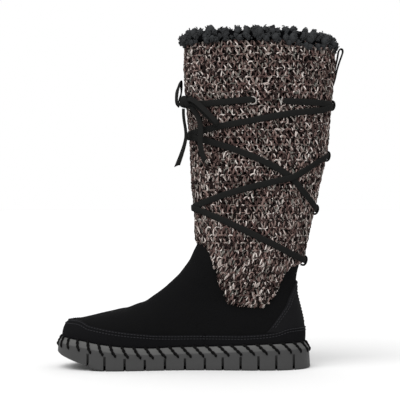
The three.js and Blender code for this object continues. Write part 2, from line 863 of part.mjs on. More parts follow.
function makeLaceWraps() {
  const seat = knitProud + 1.6 * gap;
  const top = seat + laceThickness;
  const lining = -(knitInside + 2 * gap);
  const pieces = [];
  const heightOf = (share) => instepHeight + share * legHeight;
  const pastMiddle = 0.004;
  innerStrands.forEach(({ front, back }, i) => {
    const over = (i % 2) * laceOver;
    pieces.push(makeBand(-pastMiddle, 0.5 + pastMiddle, heightOf(front), heightOf(back),
      seat + over, top + over));
  });
  outerStrands.forEach(({ front, back }, i) => {
    const over = (((i + 1) % 2) + 0.5) * laceOver;
    pieces.push(makeBand(0.5 - pastMiddle, 1 + pastMiddle, heightOf(back), heightOf(front),
      seat + over, top + over));
  });

  // The top strand runs under the knot to the first hole on each side, inside the leg to the
  // second hole, then round the back
  const level = heightOf(topStrandRise);
  const turnAt = (share) => Math.acos(1 - 2 * share) / (2 * Math.PI);
  const [first, second] = laceHoleAlong.map(turnAt);
  const perTurn = Math.PI * formPoint(0, level).distanceTo(formPoint(0.5, level));
  const stub = laceStub / 2 / perTurn;
  const end = 1.4 * stub;
  const flat = (from, to, inner, outer, width) =>
    makeBand(from, to, level, level, inner, outer, width);
  const bury = laceThickness / 4;
  const through = (turn) =>
    flat(turn - stub, turn + stub, lining - laceThickness + bury, top - bury, laceStub);
  pieces.push(
    flat(-first - end, first + end, seat, top),
    flat(first - end, second + end, lining - laceThickness, lining),
    flat(second - end, 1 - second + end, seat, top),
    flat(1 - second - end, 1 - first + end, lining - laceThickness, lining),
    ...[first, second, 1 - second, 1 - first].map(through),
  );
  return toGeometry(wasm.Manifold.union(pieces));
}

// A plain round tube along a route of points.
function makeCord(route) {
  const curve = new THREE.CatmullRomCurve3(route.map((point) => new THREE.Vector3(...point)));
  const sides = 8;
  const section = new THREE.Shape(Array.from({ length: sides }, (_, i) => {
    const angle = (2 * Math.PI * i) / sides;
    return new THREE.Vector2(Math.cos(angle), Math.sin(angle)).multiplyScalar(bowDiameter / 2);
  }));
  const steps = Math.max(6, Math.round(curve.getLength() / (1.6 * bowDiameter)));
  return toGeometry(toSolid(new THREE.ExtrudeGeometry(section, {
    steps,
    extrudePath: curve,
    bevelEnabled: false,
  })));
}

function makeKnot() {
  const knot = new THREE.IcosahedronGeometry(knotSize / 2, 1);
  knot.scale(0.62, 1, 1);
  knot.rotateZ(0.86);
  knot.translate(...knotCentre);
  return toGeometry(toSolid(knot));
}

const group = new THREE.Group();

function place(name, geometry, finish) {
  geometry.computeVertexNormals();
  const mesh = new THREE.Mesh(geometry, new THREE.MeshStandardMaterial(shared[finish]));
  mesh.name = name;
  group.add(mesh);
}

place("outsole", makeOutsole(), "rubber");
place("insole", makeInsole(), "footbed");
place("upper", makeUpper(), "suede");
place("rand", makeRand(), "suede");
place("heel_counter", makeHeelCounter(), "suede");
place("shaft", makeShaft(), "knit");
place("fleece_cuff", makeCuff(), "fleece");
place("pull_loop", makePullLoop(), "thong");
loopRises.forEach((rise, i) => place(`lace_loop_${i + 1}`, makeLaceLoop(rise), "thong"));
place("lace_wraps", makeLaceWraps(), "thong");
place("lace_knot", makeKnot(), "thong");
place("lace_bow_front", makeCord(bowFrontRoute), "thong");
place("lace_bow_side", makeCord(bowSideRoute), "thong");
place("lace_end_front", makeCord(endFrontRoute), "thong");
place("lace_end_side", makeCord(endSideRoute), "thong");

export default group;
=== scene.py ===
import bpy, bmesh, math
import numpy as np
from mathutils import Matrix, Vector, noise


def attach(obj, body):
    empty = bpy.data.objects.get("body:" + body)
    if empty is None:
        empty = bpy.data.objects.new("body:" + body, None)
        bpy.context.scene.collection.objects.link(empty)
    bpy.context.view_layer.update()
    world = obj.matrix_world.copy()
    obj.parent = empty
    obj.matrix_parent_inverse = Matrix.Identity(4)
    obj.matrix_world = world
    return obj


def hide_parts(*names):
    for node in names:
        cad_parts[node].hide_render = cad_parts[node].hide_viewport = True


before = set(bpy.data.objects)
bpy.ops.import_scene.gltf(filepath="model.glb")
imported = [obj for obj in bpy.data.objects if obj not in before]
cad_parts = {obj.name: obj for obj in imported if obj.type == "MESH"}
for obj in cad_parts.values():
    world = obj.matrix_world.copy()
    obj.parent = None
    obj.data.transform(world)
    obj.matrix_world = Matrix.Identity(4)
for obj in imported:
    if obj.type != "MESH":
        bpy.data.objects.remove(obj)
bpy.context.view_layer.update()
scene = bpy.context.scene
mm = 0.001  # every size below is in millimetres, every mesh is written in metres

# Camera at the photograph's viewing angle: level, square to the boot's inner side
cameraValues = {"x": -51.3, "distance": 1500, "height": 176.8, "viewWidth": 425.2}
cameraData = bpy.data.cameras.new("sideCamera")
cameraData.angle = 2 * math.atan(cameraValues["viewWidth"] / 2 / cameraValues["distance"])
cameraData.clip_start, cameraData.clip_end = 0.05, 50
sideCamera = bpy.data.objects.new("sideCamera", cameraData)
sideCamera.location = (cameraValues["x"] * mm, -cameraValues["distance"] * mm,
                       cameraValues["height"] * mm)
sideCamera.rotation_euler = (math.pi / 2, 0, 0)
scene.collection.objects.link(sideCamera)
scene.camera = sideCamera


# Smooth curve through a table, which never overshoots between two rows
def follow(xs, ys):
    xs, ys = np.array(xs, float), np.array(ys, float)
    slopes = np.diff(ys) / np.diff(xs)
    tangents = np.zeros(len(xs))
    tangents[0], tangents[-1] = slopes[0], slopes[-1]
    before, after = slopes[:-1], slopes[1:]
    agree = before * after > 0
    total = np.where(agree, before + after, 1)
    tangents[1:-1] = np.where(agree, 2 * before * after / total, 0)

    def at(x):
        x = np.clip(x, xs[0], xs[-1])
        i = np.clip(np.searchsorted(xs, x, side="right") - 1, 0, len(xs) - 2)
        width = xs[i + 1] - xs[i]
        t = (x - xs[i]) / width
        pull = t * (1 - t) * ((1 - t) * tangents[i] - t * tangents[i + 1]) * width
        return ys[i] + t * t * (3 - 2 * t) * (ys[i + 1] - ys[i]) + pull
    return at


def smoothStep(x, low, high):
    t = np.clip((x - low) / (high - low), 0, 1)
    return t * t * (3 - 2 * t)


# The boot's form, as the CAD parts have it
form = {"soleLength": 268, "restFromHeel": 65.6, "ballWidth": 101, "tipInward": 4,
        "soleThickness": 23.5, "heelLift": 3.8, "toeLift": 10.1, "toeSpring": 8,
        "instepHeight": 132, "widestHeight": 34, "collarHeight": 340, "frontSpread": 11.8,
        "backSpread": 29.5, "ankleWidth": 78, "collarWidth": 93, "upperMargin": 7.9,
        "knitProud": 3.4}
heelX = form["restFromHeel"]
toeX = heelX - form["soleLength"]
instep = form["instepHeight"]
legHeight = form["collarHeight"] - instep

planAlong = [0, .05, .1, .18, .27, .36, .46, .55, .65, .75, .84, .92, 1]
planInner = follow(planAlong, [.64, .65, .6, .56, .49, .425, .372, .362, .39, .452, .53, .62, .73])
planOuter = follow(planAlong, [.8, .815, .785, .715, .625, .545, .468, .432, .43, .465, .535,
                               .62, .73])
topAlong = [0, .09, .18, .28, .38, .49, .57, .68, .8, .92, 1]
topToe = follow(topAlong, [1.02, .73, .33, .03, -.1, 0, 0, 0, 0, 0, 0])
topHeel = follow(topAlong, [0, 0, 0, 0, 0, 0, .1, .37, .71, 1, 1])
springRise = follow([0, .09, .145, .175, .225, 1], [1, .72, .31, .09, 0, 0])
footRise = [.18, .263, .317, .357, .376, .389, .437, .486, .534, .583, .63, .679, .727, .776,
            .823, .872, .92, 1]
footFront = follow(footRise, [.9743, .9731, .9675, .9575, .9444, .9209, .8164, .7112, .6511,
                              .6127, .581, .5534, .5291, .5075, .4903, .4765, .4634, .4433])
footBack = follow(footRise, [.0272, .0257, .0261, .0284, .0299, .031, .0362, .0422, .0481,
                             .0537, .056, .056, .0545, .05, .0437, .0373, .0317, .0235])
legRise = [0, .1, .2, .3, .4, .5, .6, .7, .8, .9, 1]
legFront = follow(legRise, [0, .05, .14, .35, .41, .46, .66, .77, .95, 1, 1])
legBack = follow(legRise, [0, .15, .32, .46, .63, .755, .81, .865, .935, 1, 1])
legWide = follow(legRise, [0, .14, .3, .46, .6, .71, .8, .87, .93, .97, 1])


def alongSole(x):
    return np.clip((x - toeX) / form["soleLength"], 0, 1)


def soleTop(x):
    along = alongSole(x)
    return (form["soleThickness"] + form["toeLift"] * topToe(along)
            + form["heelLift"] * topHeel(along))


def treadHeight(x):
    return form["toeSpring"] * springRise(alongSole(x))


def centreY(x):
    return -form["tipInward"] * smoothStep(0.5 - alongSole(x), 0, 0.5)


def soleHalfWidth(x, side, inset):
    along = np.clip((x - toeX - inset) / (form["soleLength"] - 2 * inset), 0, 1)
    share = np.where(side < 0, planInner(along), planOuter(along))
    return (share * form["ballWidth"] - inset) * 2 * np.sqrt(along * (1 - along))


def frontX(height):
    foot = heelX - footFront(height / instep) * form["soleLength"]
    leg = heelX - footFront(1) * form["soleLength"] \
        - legFront((height - instep) / legHeight) * form["frontSpread"]
    return np.where(height <= instep, foot, leg)


def backX(height):
    foot = heelX - footBack(height / instep) * form["soleLength"]
    leg = heelX - footBack(1) * form["soleLength"] \
        + legBack((height - instep) / legHeight) * form["backSpread"]
    return np.where(height <= instep, foot, leg)


ridgeHeights = np.linspace(0, instep, 4000)
ridgeFronts = frontX(ridgeHeights) + ridgeHeights * 1e-7


def ridgeHeight(x):
    behind = instep + 3 * (x - ridgeFronts[-1])
    return np.where(x >= ridgeFronts[-1], behind, np.interp(x, ridgeFronts, ridgeHeights))


def footHalfWidth(x, height, side):
    waistX = heelX - 0.4 * form["soleLength"]
    behind = x > waistX
    end = np.where(behind, backX(height), frontX(0 * height))
    planEnd = np.where(behind, heelX - form["upperMargin"], toeX + form["upperMargin"])
    planX = waistX + (x - waistX) * ((planEnd - waistX) / (end - waistX))
    half = soleHalfWidth(planX, side, form["upperMargin"])
    top = ridgeHeight(x)
    span = np.where(np.abs(top - form["widestHeight"]) < 1e-6, 1, top - form["widestHeight"])
    drop = np.clip((top - height) / span, 0, 1)
    crown = (1 - (1 - drop) ** 2.3) ** (1 / 2.2)
    return np.where(height <= form["widestHeight"], half, half * crown)


# turn goes once round from the toe by the inner side to the heel and back by the outer side
def formPoint(turn, height):
    turn, height = np.broadcast_arrays(np.asarray(turn, float), np.asarray(height, float))
    angle = 2 * math.pi * turn
    front = frontX(height)
    x = front + (1 - np.cos(angle)) / 2 * (backX(height) - front)
    reach = np.sin(angle)
    side = np.where(reach > 0, -1, 1)
    rise = np.clip((height - instep) / legHeight, 0, 1)
    legHalf = (form["ankleWidth"]
               + legWide(rise) * (form["collarWidth"] - form["ankleWidth"])) / 2
    oval = legHalf * np.abs(reach) * (1 + 0.12 * np.cos(angle) ** 2)
    share = smoothStep(height, 0.5 * instep, 0.95 * instep)
    half = footHalfWidth(x, height, side) * (1 - share) + oval * share
    half = np.where(np.abs(reach) < 1e-9, 0, half)
    return np.stack([x, centreY(x) + side * half, height], -1)


def unit(vectors):
    length = np.linalg.norm(vectors, axis=-1, keepdims=True)
    return vectors / np.maximum(length, 1e-12)


def formNormal(turn, height):
    around = formPoint(turn + 0.002, height) - formPoint(turn - 0.002, height)
    up = formPoint(turn, height + 0.3) - formPoint(turn, height - 0.3)
    return unit(np.cross(around, up))


def layerPoint(turn, height, outward):
    outward = np.asarray(outward, float)[..., None]
    return formPoint(turn, height) + formNormal(turn, height) * outward


# Even steps of length round the form at one height
def evenTurns(height, places):
    turns = np.linspace(0, 1, 721)
    line = formPoint(turns, np.full(721, float(height)))
    length = np.concatenate([[0], np.cumsum(np.linalg.norm(np.diff(line, axis=0), axis=1))])
    return np.interp(np.asarray(places), length / length[-1], turns), length[-1]


knitSeam = follow([-53.2, -47.1, -42.4, -38.5, -36, -33.3, -28.1, -21.5, -12.6, 2.3, 14.2, 22.1,
                   27.2, 31.3, 34.4, 38.6, 45.2, 54.5],
                  [131.6, 129.3, 122.9, 113.8, 103.5, 93.1, 82.6, 69.4, 66.4, 65.5, 66.4, 71.3,
                   78.3, 87.9, 95.8, 102.7, 108.1, 109.8])
randTop = follow([-188.5, -175.7, -166, -157.4, -142.4, -127.1, -112.2, -97.8, -78.2, -52.4,
                  -12.9, 7.4, 27.3, 42.6, 53.5, 60.7],
                 [50, 49.6, 45.5, 43.9, 41.4, 39.3, 37.8, 36.4, 35.9, 36.1, 35.9, 36.9, 39.2,
                  43.6, 44.1, 43.2])
counterFront = follow([38.1, 44, 50.8, 57.9, 65.5, 75.2, 85.2, 92.2],
                      [17.3, 22.4, 27.4, 32.5, 37.7, 41.9, 46.6, 50])


# Height at which each turn meets a line given in the side view
def meetingHeight(turns, line, low, high):
    trial = np.linspace(low, high, 400)
    points = formPoint(turns[:, None], trial[None, :])
    above = points[..., 2] >= line(points[..., 0])
    first = np.argmax(above, axis=1)
    return np.where(above.any(axis=1), trial[first], high)


# Meshes
def makePiece(name, grids, material, replaced=(), uvs=None, ride=True):
    bm = bmesh.new()
    for grid in grids:
        rows, columns = grid.shape[:2]
        bmesh.ops.create_grid(bm, x_segments=columns - 1, y_segments=rows - 1, size=1)
    mesh = bpy.data.meshes.new(name)
    bm.to_mesh(mesh)
    places = np.concatenate([grid.reshape(-1, 3) for grid in grids]) * mm
    mesh.vertices.foreach_set("co", places.ravel())
    corners = np.empty(len(mesh.loops), int)
    mesh.loops.foreach_get("vertex_index", corners)
    if uvs is not None:
        layer = mesh.uv_layers.new(name="UVMap")
        flat = np.concatenate([uv.reshape(-1, 2) for uv in uvs])
        layer.data.foreach_set("uv", flat[corners].ravel())
    bm.clear()
    bm.from_mesh(mesh)
    bmesh.ops.remove_doubles(bm, verts=bm.verts, dist=2e-6)
    bmesh.ops.recalc_face_normals(bm, faces=bm.faces)
    for face in bm.faces:
        face.smooth = True
    bm.to_mesh(mesh)
    bm.free()
    piece = bpy.data.objects.new(name, mesh)
    scene.collection.objects.link(piece)
    mesh.materials.append(material)
    if ride:
        finishPiece(piece, replaced)
    return piece


def finishPiece(piece, replaced=()):
    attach(piece, "root")
    if replaced:
        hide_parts(*replaced)
    print(piece.name, len(piece.data.polygons), "faces")


# A tube or ribbon round a path; face is the direction its flat side looks to
def tubeGrid(path, face, halfThick, halfWide=None, sides=6, capped=True, square=2.0):
    path = np.asarray(path, float)
    halfWide = halfThick if halfWide is None else halfWide
    along = unit(np.gradient(path, axis=0))
    out = unit(face - along * np.sum(face * along, axis=1, keepdims=True))
    across = np.cross(along, out)
    angle = np.linspace(0, 2 * math.pi, sides + 1)
    cos, sin = np.cos(angle), np.sin(angle)
    u = np.sign(cos) * np.abs(cos) ** (2 / square)
    v = np.sign(sin) * np.abs(sin) ** (2 / square)
    thick = np.broadcast_to(halfThick, len(path))[:, None, None]
    wide = np.broadcast_to(halfWide, len(path))[:, None, None]
    grid = (path[:, None] + out[:, None] * u[None, :, None] * thick
            + across[:, None] * v[None, :, None] * wide)
    if capped:
        first = np.repeat(path[:1, None], sides + 1, axis=1)
        last = np.repeat(path[-1:, None], sides + 1, axis=1)
        grid = np.concatenate([first, grid, last])
    return grid


# An even path on a smooth curve through the points
def smoothPath(points, steps):
    points = np.asarray(points, float)
    length = np.concatenate([[0], np.cumsum(np.linalg.norm(np.diff(points, axis=0), axis=1))])
    slopes = np.gradient(points, length, axis=0)
    at = np.linspace(0, length[-1], steps * 4)
    i = np.clip(np.searchsorted(length, at, side="right") - 1, 0, len(points) - 2)
    width = (length[i + 1] - length[i])[:, None]
    t = ((at - length[i])[:, None]) / width
    path = (points[i] * (1 + 2 * t) * (1 - t) ** 2 + points[i + 1] * t * t * (3 - 2 * t)
            + width * (slopes[i] * t * (1 - t) ** 2 + slopes[i + 1] * t * t * (t - 1)))
    length = np.concatenate([[0], np.cumsum(np.linalg.norm(np.diff(path, axis=0), axis=1))])
    at = np.linspace(0, length[-1], steps)
    return np.stack([np.interp(at, length, path[:, k]) for k in range(3)], -1)


# Rounds off a line of values, its ends kept
def soften(line, passes):
    for _ in range(passes):
        line[1:-1] = line[1:-1] * 0.5 + (line[:-2] + line[2:]) * 0.25


def lumps(points, size, seed):
    flat = points.reshape(-1, 3) / size + seed
    return np.array([noise.noise(p) for p in flat.tolist()]).reshape(points.shape[:-1])


# Materials
def linear(*tones):
    return tuple((t / 255) ** 2.2 for t in tones) + (1.0,)


def newMaterial(name, roughness, sheen=0.0, specular=0.5, colour=(0.1, 0.1, 0.1, 1)):
    material = bpy.data.materials.new(name)
    material.use_nodes = True
    shader = material.node_tree.nodes["Principled BSDF"]
    shader.inputs["Roughness"].default_value = roughness
    shader.inputs["Specular IOR Level"].default_value = specular
    shader.inputs["Sheen Weight"].default_value = sheen
    shader.inputs["Sheen Roughness"].default_value = 0.5
    shader.inputs["Base Color"].default_value = colour
    material.diffuse_color = colour
    return material, shader


def addNode(tree, kind, **values):
    node = tree.nodes.new(kind)
    for key, value in values.items():
        if hasattr(node, key):
            setattr(node, key, value)
        else:
            node.inputs[key.replace("_", " ")].default_value = value
    return node


def mathNode(tree, operation, first, second=None, third=None):
    node = tree.nodes.new("ShaderNodeMath")
    node.operation = operation
    for socket, value in zip(node.inputs, (first, second, third)):
        if value is None:
            continue
        if isinstance(value, (int, float)):
            socket.default_value = value
        else:
            tree.links.new(value, socket)
    return node.outputs[0]


# Short nap of suede: fine speckle with broad brushed patches
def makeNapGroup():
    group = bpy.data.node_groups.new("napPattern", "ShaderNodeTree")
    for name, kind in (("Dark", "NodeSocketColor"), ("Brushed", "NodeSocketColor"),
                       ("Fine Scale", "NodeSocketFloat"), ("Patch Scale", "NodeSocketFloat")):
        group.interface.new_socket(name, in_out="INPUT", socket_type=kind)
    group.interface.new_socket("Colour", in_out="OUTPUT", socket_type="NodeSocketColor")
    group.interface.new_socket("Height", in_out="OUTPUT", socket_type="NodeSocketFloat")
    given = group.nodes.new("NodeGroupInput")
    out = group.nodes.new("NodeGroupOutput")
    place = group.nodes.new("ShaderNodeTexCoord")
    fine = addNode(group, "ShaderNodeTexNoise", Detail=4.0, Roughness=0.7)
    patch = addNode(group, "ShaderNodeTexNoise", Detail=3.0, Distortion=0.6)
    link = group.links.new
    link(place.outputs["Object"], fine.inputs["Vector"])
    link(place.outputs["Object"], patch.inputs["Vector"])
    link(given.outputs["Fine Scale"], fine.inputs["Scale"])
    link(given.outputs["Patch Scale"], patch.inputs["Scale"])
    napLift = 0.5  # holds most of the nap at its brushed tone
    mixed = mathNode(group, "MULTIPLY_ADD", fine.outputs[0], 0.9, napLift)
    both = mathNode(group, "ADD", mixed, mathNode(group, "MULTIPLY", patch.outputs[0], 0.9))
    spread = addNode(group, "ShaderNodeMapRange")
    spread.inputs["From Min"].default_value = 0.62
    spread.inputs["From Max"].default_value = 1.25
    link(both, spread.inputs["Value"])
    mix = addNode(group, "ShaderNodeMix", data_type="RGBA")
    link(spread.outputs[0], mix.inputs[0])
    link(given.outputs["Dark"], mix.inputs[6])
    link(given.outputs["Brushed"], mix.inputs[7])
    link(mix.outputs[2], out.inputs["Colour"])
    link(fine.outputs[0], out.inputs["Height"])
    return group


napGroup = makeNapGroup()


def napMaterial(name, dark, brushed, fineScale, patchScale, bump, roughness=0.95, sheen=0.0,
                specular=0.2):
    material, shader = newMaterial(name, roughness, sheen, specular, dark)
    tree = material.node_tree
    nap = tree.nodes.new("ShaderNodeGroup")
    nap.node_tree = napGroup
    nap.inputs["Dark"].default_value = dark
    nap.inputs["Brushed"].default_value = brushed
    nap.inputs["Fine Scale"].default_value = fineScale
    nap.inputs["Patch Scale"].default_value = patchScale
    bumpNode = addNode(tree, "ShaderNodeBump", Strength=bump, Distance=0.0006)
    tree.links.new(nap.outputs["Colour"], shader.inputs["Base Color"])
    tree.links.new(nap.outputs["Height"], bumpNode.inputs["Height"])
    tree.links.new(bumpNode.outputs[0], shader.inputs["Normal"])
    return material


# Painted highlight: paler in patches where the surface slopes upwards, as if lit from above
def addPaintedSlopeHighlight(material, pale, low, high):
    tree = material.node_tree
    shader = tree.nodes["Principled BSDF"]
    under = shader.inputs["Base Color"].links[0].from_socket
    place = tree.nodes.new("ShaderNodeTexCoord")
    split = tree.nodes.new("ShaderNodeSeparateXYZ")
    tree.links.new(place.outputs["Normal"], split.inputs[0])
    slope = addNode(tree, "ShaderNodeMapRange")
    slope.inputs["From Min"].default_value = low
    slope.inputs["From Max"].default_value = high
    tree.links.new(split.outputs[2], slope.inputs["Value"])
    patch = addNode(tree, "ShaderNodeTexNoise", Scale=45.0, Detail=3.0)
    tree.links.new(place.outputs["Object"], patch.inputs["Vector"])
    amount = mathNode(tree, "MULTIPLY", slope.outputs[0], patch.outputs[0])
    mix = addNode(tree, "ShaderNodeMix", data_type="RGBA")
    tree.links.new(amount, mix.inputs[0])
    tree.links.new(under, mix.inputs[6])
    mix.inputs[7].default_value = pale
    tree.links.new(mix.outputs[2], shader.inputs["Base Color"])


suedeFinish = napMaterial("blackSuede", linear(1, 1, 1.3), linear(21, 21, 21.5), 480, 60, 0.9,
                          specular=0.02)
randFinish = napMaterial("randSuede", linear(7, 7, 7.5), linear(23, 23, 24), 1100, 60, 0.8,
                         specular=0.02)
counterFinish = napMaterial("heelSuede", linear(9, 9, 9.5), linear(27, 27, 28), 1000, 70, 0.9,
                            specular=0.03)
thongFinish = napMaterial("suedeThong", linear(7, 7, 7), linear(31, 31, 30.5), 700, 100, 0.7,
                          specular=0.02)
soleFinish = napMaterial("greyRubber", linear(38, 38, 38), linear(54, 54, 54), 1800, 90, 0.4,
                         roughness=0.62, specular=0.22)
# painted highlight on the sole's upward-sloping chamfer
addPaintedSlopeHighlight(soleFinish, linear(84, 84, 83), 0.28, 0.55)
footbedFinish = napMaterial("footbedPile", linear(34, 32, 32), linear(48, 46, 46), 1200, 60, 0.6,
                            specular=0.05)
fleeceFinish = napMaterial("curlyFleece", linear(1.5, 1.5, 2), linear(50, 51, 52), 300, 130, 0.9,
                           roughness=1.0, specular=0.05)
# near-black finish of the cuff's core ring: painted shade in the gaps between the locks
shadeFinish = napMaterial("fleeceGapShade", linear(1, 1, 1), linear(16, 16, 17), 500, 150, 0.6,
                          roughness=1.0, specular=0.0)
threadFinish = napMaterial("seamThread", linear(26, 26, 27), linear(46, 46, 48), 3000, 200, 0.3,
                           specular=0.1)
# near-black sheet behind the knit: painted shade, seen in the gaps between stitches
knitGapShadeFinish = napMaterial("knitGapShade", linear(5, 4.5, 4.5), linear(10, 9, 9), 1500, 100, 0.4,
                            specular=0.0)
stitchCordFinish = napMaterial("whipCord", linear(4, 4, 4), linear(11, 11, 11), 2500, 200, 0.3,
                               roughness=0.7, specular=0.08)


# Marled yarn: plies wind round the strand, each dyed in short lengths of its own tone, and painted
# shade darkens the grooves between the plies
def makeYarnFinish(name, tones, plies=5, twist=0.045):
    material, shader = newMaterial(name, 0.9, 0.0, 0.08, linear(90, 80, 78))
    tree = material.node_tree
    link = tree.links.new
    uv = tree.nodes.new("ShaderNodeUVMap")
    uv.uv_map = "UVMap"
    split = tree.nodes.new("ShaderNodeSeparateXYZ")
    link(uv.outputs[0], split.inputs[0])
    length, around = split.outputs[0], split.outputs[1]
    phase = mathNode(tree, "MULTIPLY", mathNode(
        tree, "FRACT", mathNode(tree, "MULTIPLY_ADD", length, twist, around)), plies)
    ply = mathNode(tree, "FLOOR", phase)
    within = mathNode(tree, "FRACT", phase)
    stretch = mathNode(tree, "FLOOR", mathNode(tree, "MULTIPLY_ADD", length, 0.13,
                                               mathNode(tree, "MULTIPLY", ply, 0.37)))
    key = mathNode(tree, "MULTIPLY_ADD", stretch, 7.0, ply)
    white = addNode(tree, "ShaderNodeTexWhiteNoise", noise_dimensions="1D")
    link(key, white.inputs["W"])
    ramp = tree.nodes.new("ShaderNodeValToRGB")
    ramp.color_ramp.interpolation = "LINEAR"
    elements = ramp.color_ramp.elements
    while len(elements) < len(tones):
        elements.new(0.5)
    for element, (at, tone) in zip(elements, tones):
        element.position = at
        element.color = linear(*tone)
    link(white.outputs["Value"], ramp.inputs[0])
    # painted shade: each ply is darkened towards its edges, in the grooves between plies; the same
    # groove drives the bump
    groove = mathNode(tree, "SINE", mathNode(tree, "MULTIPLY", within, math.pi))
    shade = addNode(tree, "ShaderNodeMapRange")
    shade.inputs["To Min"].default_value = 0.26
    link(groove, shade.inputs["Value"])
    dim = addNode(tree, "ShaderNodeMix", data_type="RGBA", blend_type="MULTIPLY")
    dim.inputs[0].default_value = 1.0
    grey = tree.nodes.new("ShaderNodeCombineXYZ")
    for k in range(3):
        link(shade.outputs[0], grey.inputs[k])
    link(ramp.outputs[0], dim.inputs[6])
    link(grey.outputs[0], dim.inputs[7])
    link(dim.outputs[2], shader.inputs["Base Color"])
    bump = addNode(tree, "ShaderNodeBump", Strength=0.7, Distance=0.0007)
    link(groove, bump.inputs["Height"])
    link(bump.outputs[0], shader.inputs["Normal"])
    return material


yarnTones = [(0.0, (13, 10, 10)), (0.22, (36, 28, 27)), (0.42, (62, 51, 49)),
             (0.58, (98, 78, 74)), (0.7, (132, 112, 106)), (0.8, (104, 105, 99)),
             (0.91, (172, 158, 152)), (1.0, (214, 205, 199))]
yarnFinish = makeYarnFinish("marledYarn", yarnTones)
lightYarnFinish = makeYarnFinish("lightYarn", [(0.0, (150, 145, 140)), (1.0, (205, 200, 195))])

print("materials ready")

# Cords of the bow: flat thong along the CAD parts' own routes
bowValues = {"width": 5.6, "thickness": 1.4, "knotCentre": (-66.5, -23.8, 279.5),
             "knotTurn": 0.86}
cordRoutes = {
    "lace_bow_front": [(-73, -19.8, 276), (-75.6, -16, 279), (-76, -11, 285), (-75.4, -6, 292),
                       (-73.6, 0, 298.5), (-72.6, 6, 302.5), (-71.6, 11.5, 301),
                       (-71.2, 13.5, 295), (-71.8, 10, 288.5), (-73.2, 2.5, 284),
                       (-73.6, -6, 281.6), (-73.4, -13.6, 281.8)],
    "lace_bow_side": [(-61.2, -29.4, 278.2), (-57, -32, 276.6), (-52, -37.4, 272),
                      (-46, -41.5, 266), (-40, -45.2, 260), (-35.4, -48.4, 255.4),
                      (-32.6, -52.2, 253.6), (-33.6, -55.6, 255.4), (-38, -54.8, 260.4),
                      (-44, -50.8, 266.8), (-50, -46, 273), (-56, -40, 278.6),
                      (-60.4, -34.4, 281.6), (-63.6, -30.4, 282.6)],
    "lace_end_front": [(-68.6, -24.4, 272.4), (-68.6, -23.8, 266), (-67.8, -23, 259),
                       (-66.6, -22, 252), (-66, -21, 243.5), (-67.4, -20, 235.5),
                       (-69.8, -19, 227.5), (-72.8, -17.6, 219), (-75.2, -16.5, 212.8)],
    "lace_end_side": [(-61.4, -28.2, 274.6), (-57.8, -31.8, 270), (-53.6, -35.6, 263.4),
                      (-51, -39, 255), (-50.6, -41.4, 245), (-51.2, -42, 235),
                      (-49.6, -42.4, 226), (-46.4, -43, 217)],
}
# Which way the thong's flat side looks, from the knot to the far end
cordFaces = {
    "lace_bow_front": [(-1, -0.6, 0), (-0.8, -0.7, 0.2), (-0.8, 0.1, 0.6), (-0.8, 0.5, 0.3),
                       (-1, 0, 0.2)],
    "lace_bow_side": [(-0.2, -1, 0.3), (0, -1, 0.2), (0.6, -0.7, -0.4), (0.1, -1, 0.3),
                      (-0.2, -1, 0.3)],
    "lace_end_front": [(-0.9, -0.5, 0), (-0.9, -0.5, 0), (-0.85, -0.55, 0), (-0.7, -0.7, 0),
                       (-0.45, -0.9, 0)],
    "lace_end_side": [(-0.5, -0.9, 0), (-0.4, -0.9, 0), (-0.2, -1, 0), (-0.2, -1, 0),
                      (-0.3, -1, 0)],
}


def pathLength(path):
    return float(np.linalg.norm(np.diff(path, axis=0), axis=1).sum())


def makeCord(name, slantedEnd):
    route = np.array(cordRoutes[name], float)
    steps = int(pathLength(route) / 1.4)
    path = smoothPath(route, steps)
    soften(path, 3)
    keys = np.array(cordFaces[name], float)
    share = np.linspace(0, len(keys) - 1, steps)
    face = np.stack([np.interp(share, range(len(keys)), keys[:, k]) for k in range(3)], -1)
    grid = tubeGrid(path, face, bowValues["thickness"] / 2, bowValues["width"] / 2, 14,
                    square=3.2)
    if slantedEnd:  # the end is cut at a slant
        across = unit(grid[-2][3] - grid[-2][10])
        along = unit(path[-1] - path[-2])
        reach = (grid[-2] - path[-1]) @ across
        grid[-2] = grid[-2] + along * reach[:, None]
    piece = makePiece(name + "_thong", [grid], thongFinish, [name])
    return piece


# The knot: two flat turns wrapped round a core
def makeKnot():
    centre = np.array(bowValues["knotCentre"])
    out = np.array([-math.cos(bowValues["knotTurn"]), -math.sin(bowValues["knotTurn"]), 0])
    sideways = np.array([-out[1], out[0], 0])
    up = np.array([0, 0, 1.0])
    grids = []
    # each wrap: tilt of its ring, half height, reach outwards, shift sideways
    for tilt, high, deep, shift, wide in ((0.25, 5.5, 3.4, -1.6, 3.3), (-0.5, 5.9, 3.0, 2.2, 3.1),
                                          (1.35, 6.3, 2.5, 0, 2.9)):
        angle = np.linspace(0, 2 * math.pi, 29)
        lift = math.cos(tilt) * up + math.sin(tilt) * sideways
        path = (centre + sideways * shift
                + np.sin(angle)[:, None] * lift * high + np.cos(angle)[:, None] * out * deep)
        face = np.sin(angle)[:, None] * lift + np.cos(angle)[:, None] * out
        grids.append(tubeGrid(path, face, 0.85, wide, 12, capped=False, square=3))
    core = np.linspace(-1, 1, 9)
    path = centre + core[:, None] * sideways * 6.6
    grids.append(tubeGrid(path, np.repeat(out[None], 9, 0), 2.5 * np.sqrt(1.02 - core ** 2),
                          4.8 * np.sqrt(1.02 - core ** 2), 12))
    return makePiece("lace_knot_wraps", grids, thongFinish, ["lace_knot"])


knot = makeKnot()
for cordName in cordRoutes:
    makeCord(cordName, cordName.startswith("lace_end"))
print("bow ready")

# Sole
soleValues = {"columns": 300, "treadBevel": 1.2, "flare": 1.2, "edgeBevel": 4.2,
              "edgeDrop": 6.2, "grooveWidth": 2.5, "grooveDepth": 4.0, "grooveBite": 7.0,
              "grooveBelowTop": 11.0, "holeDrop": 9.2, "holeRadius": 1.25}


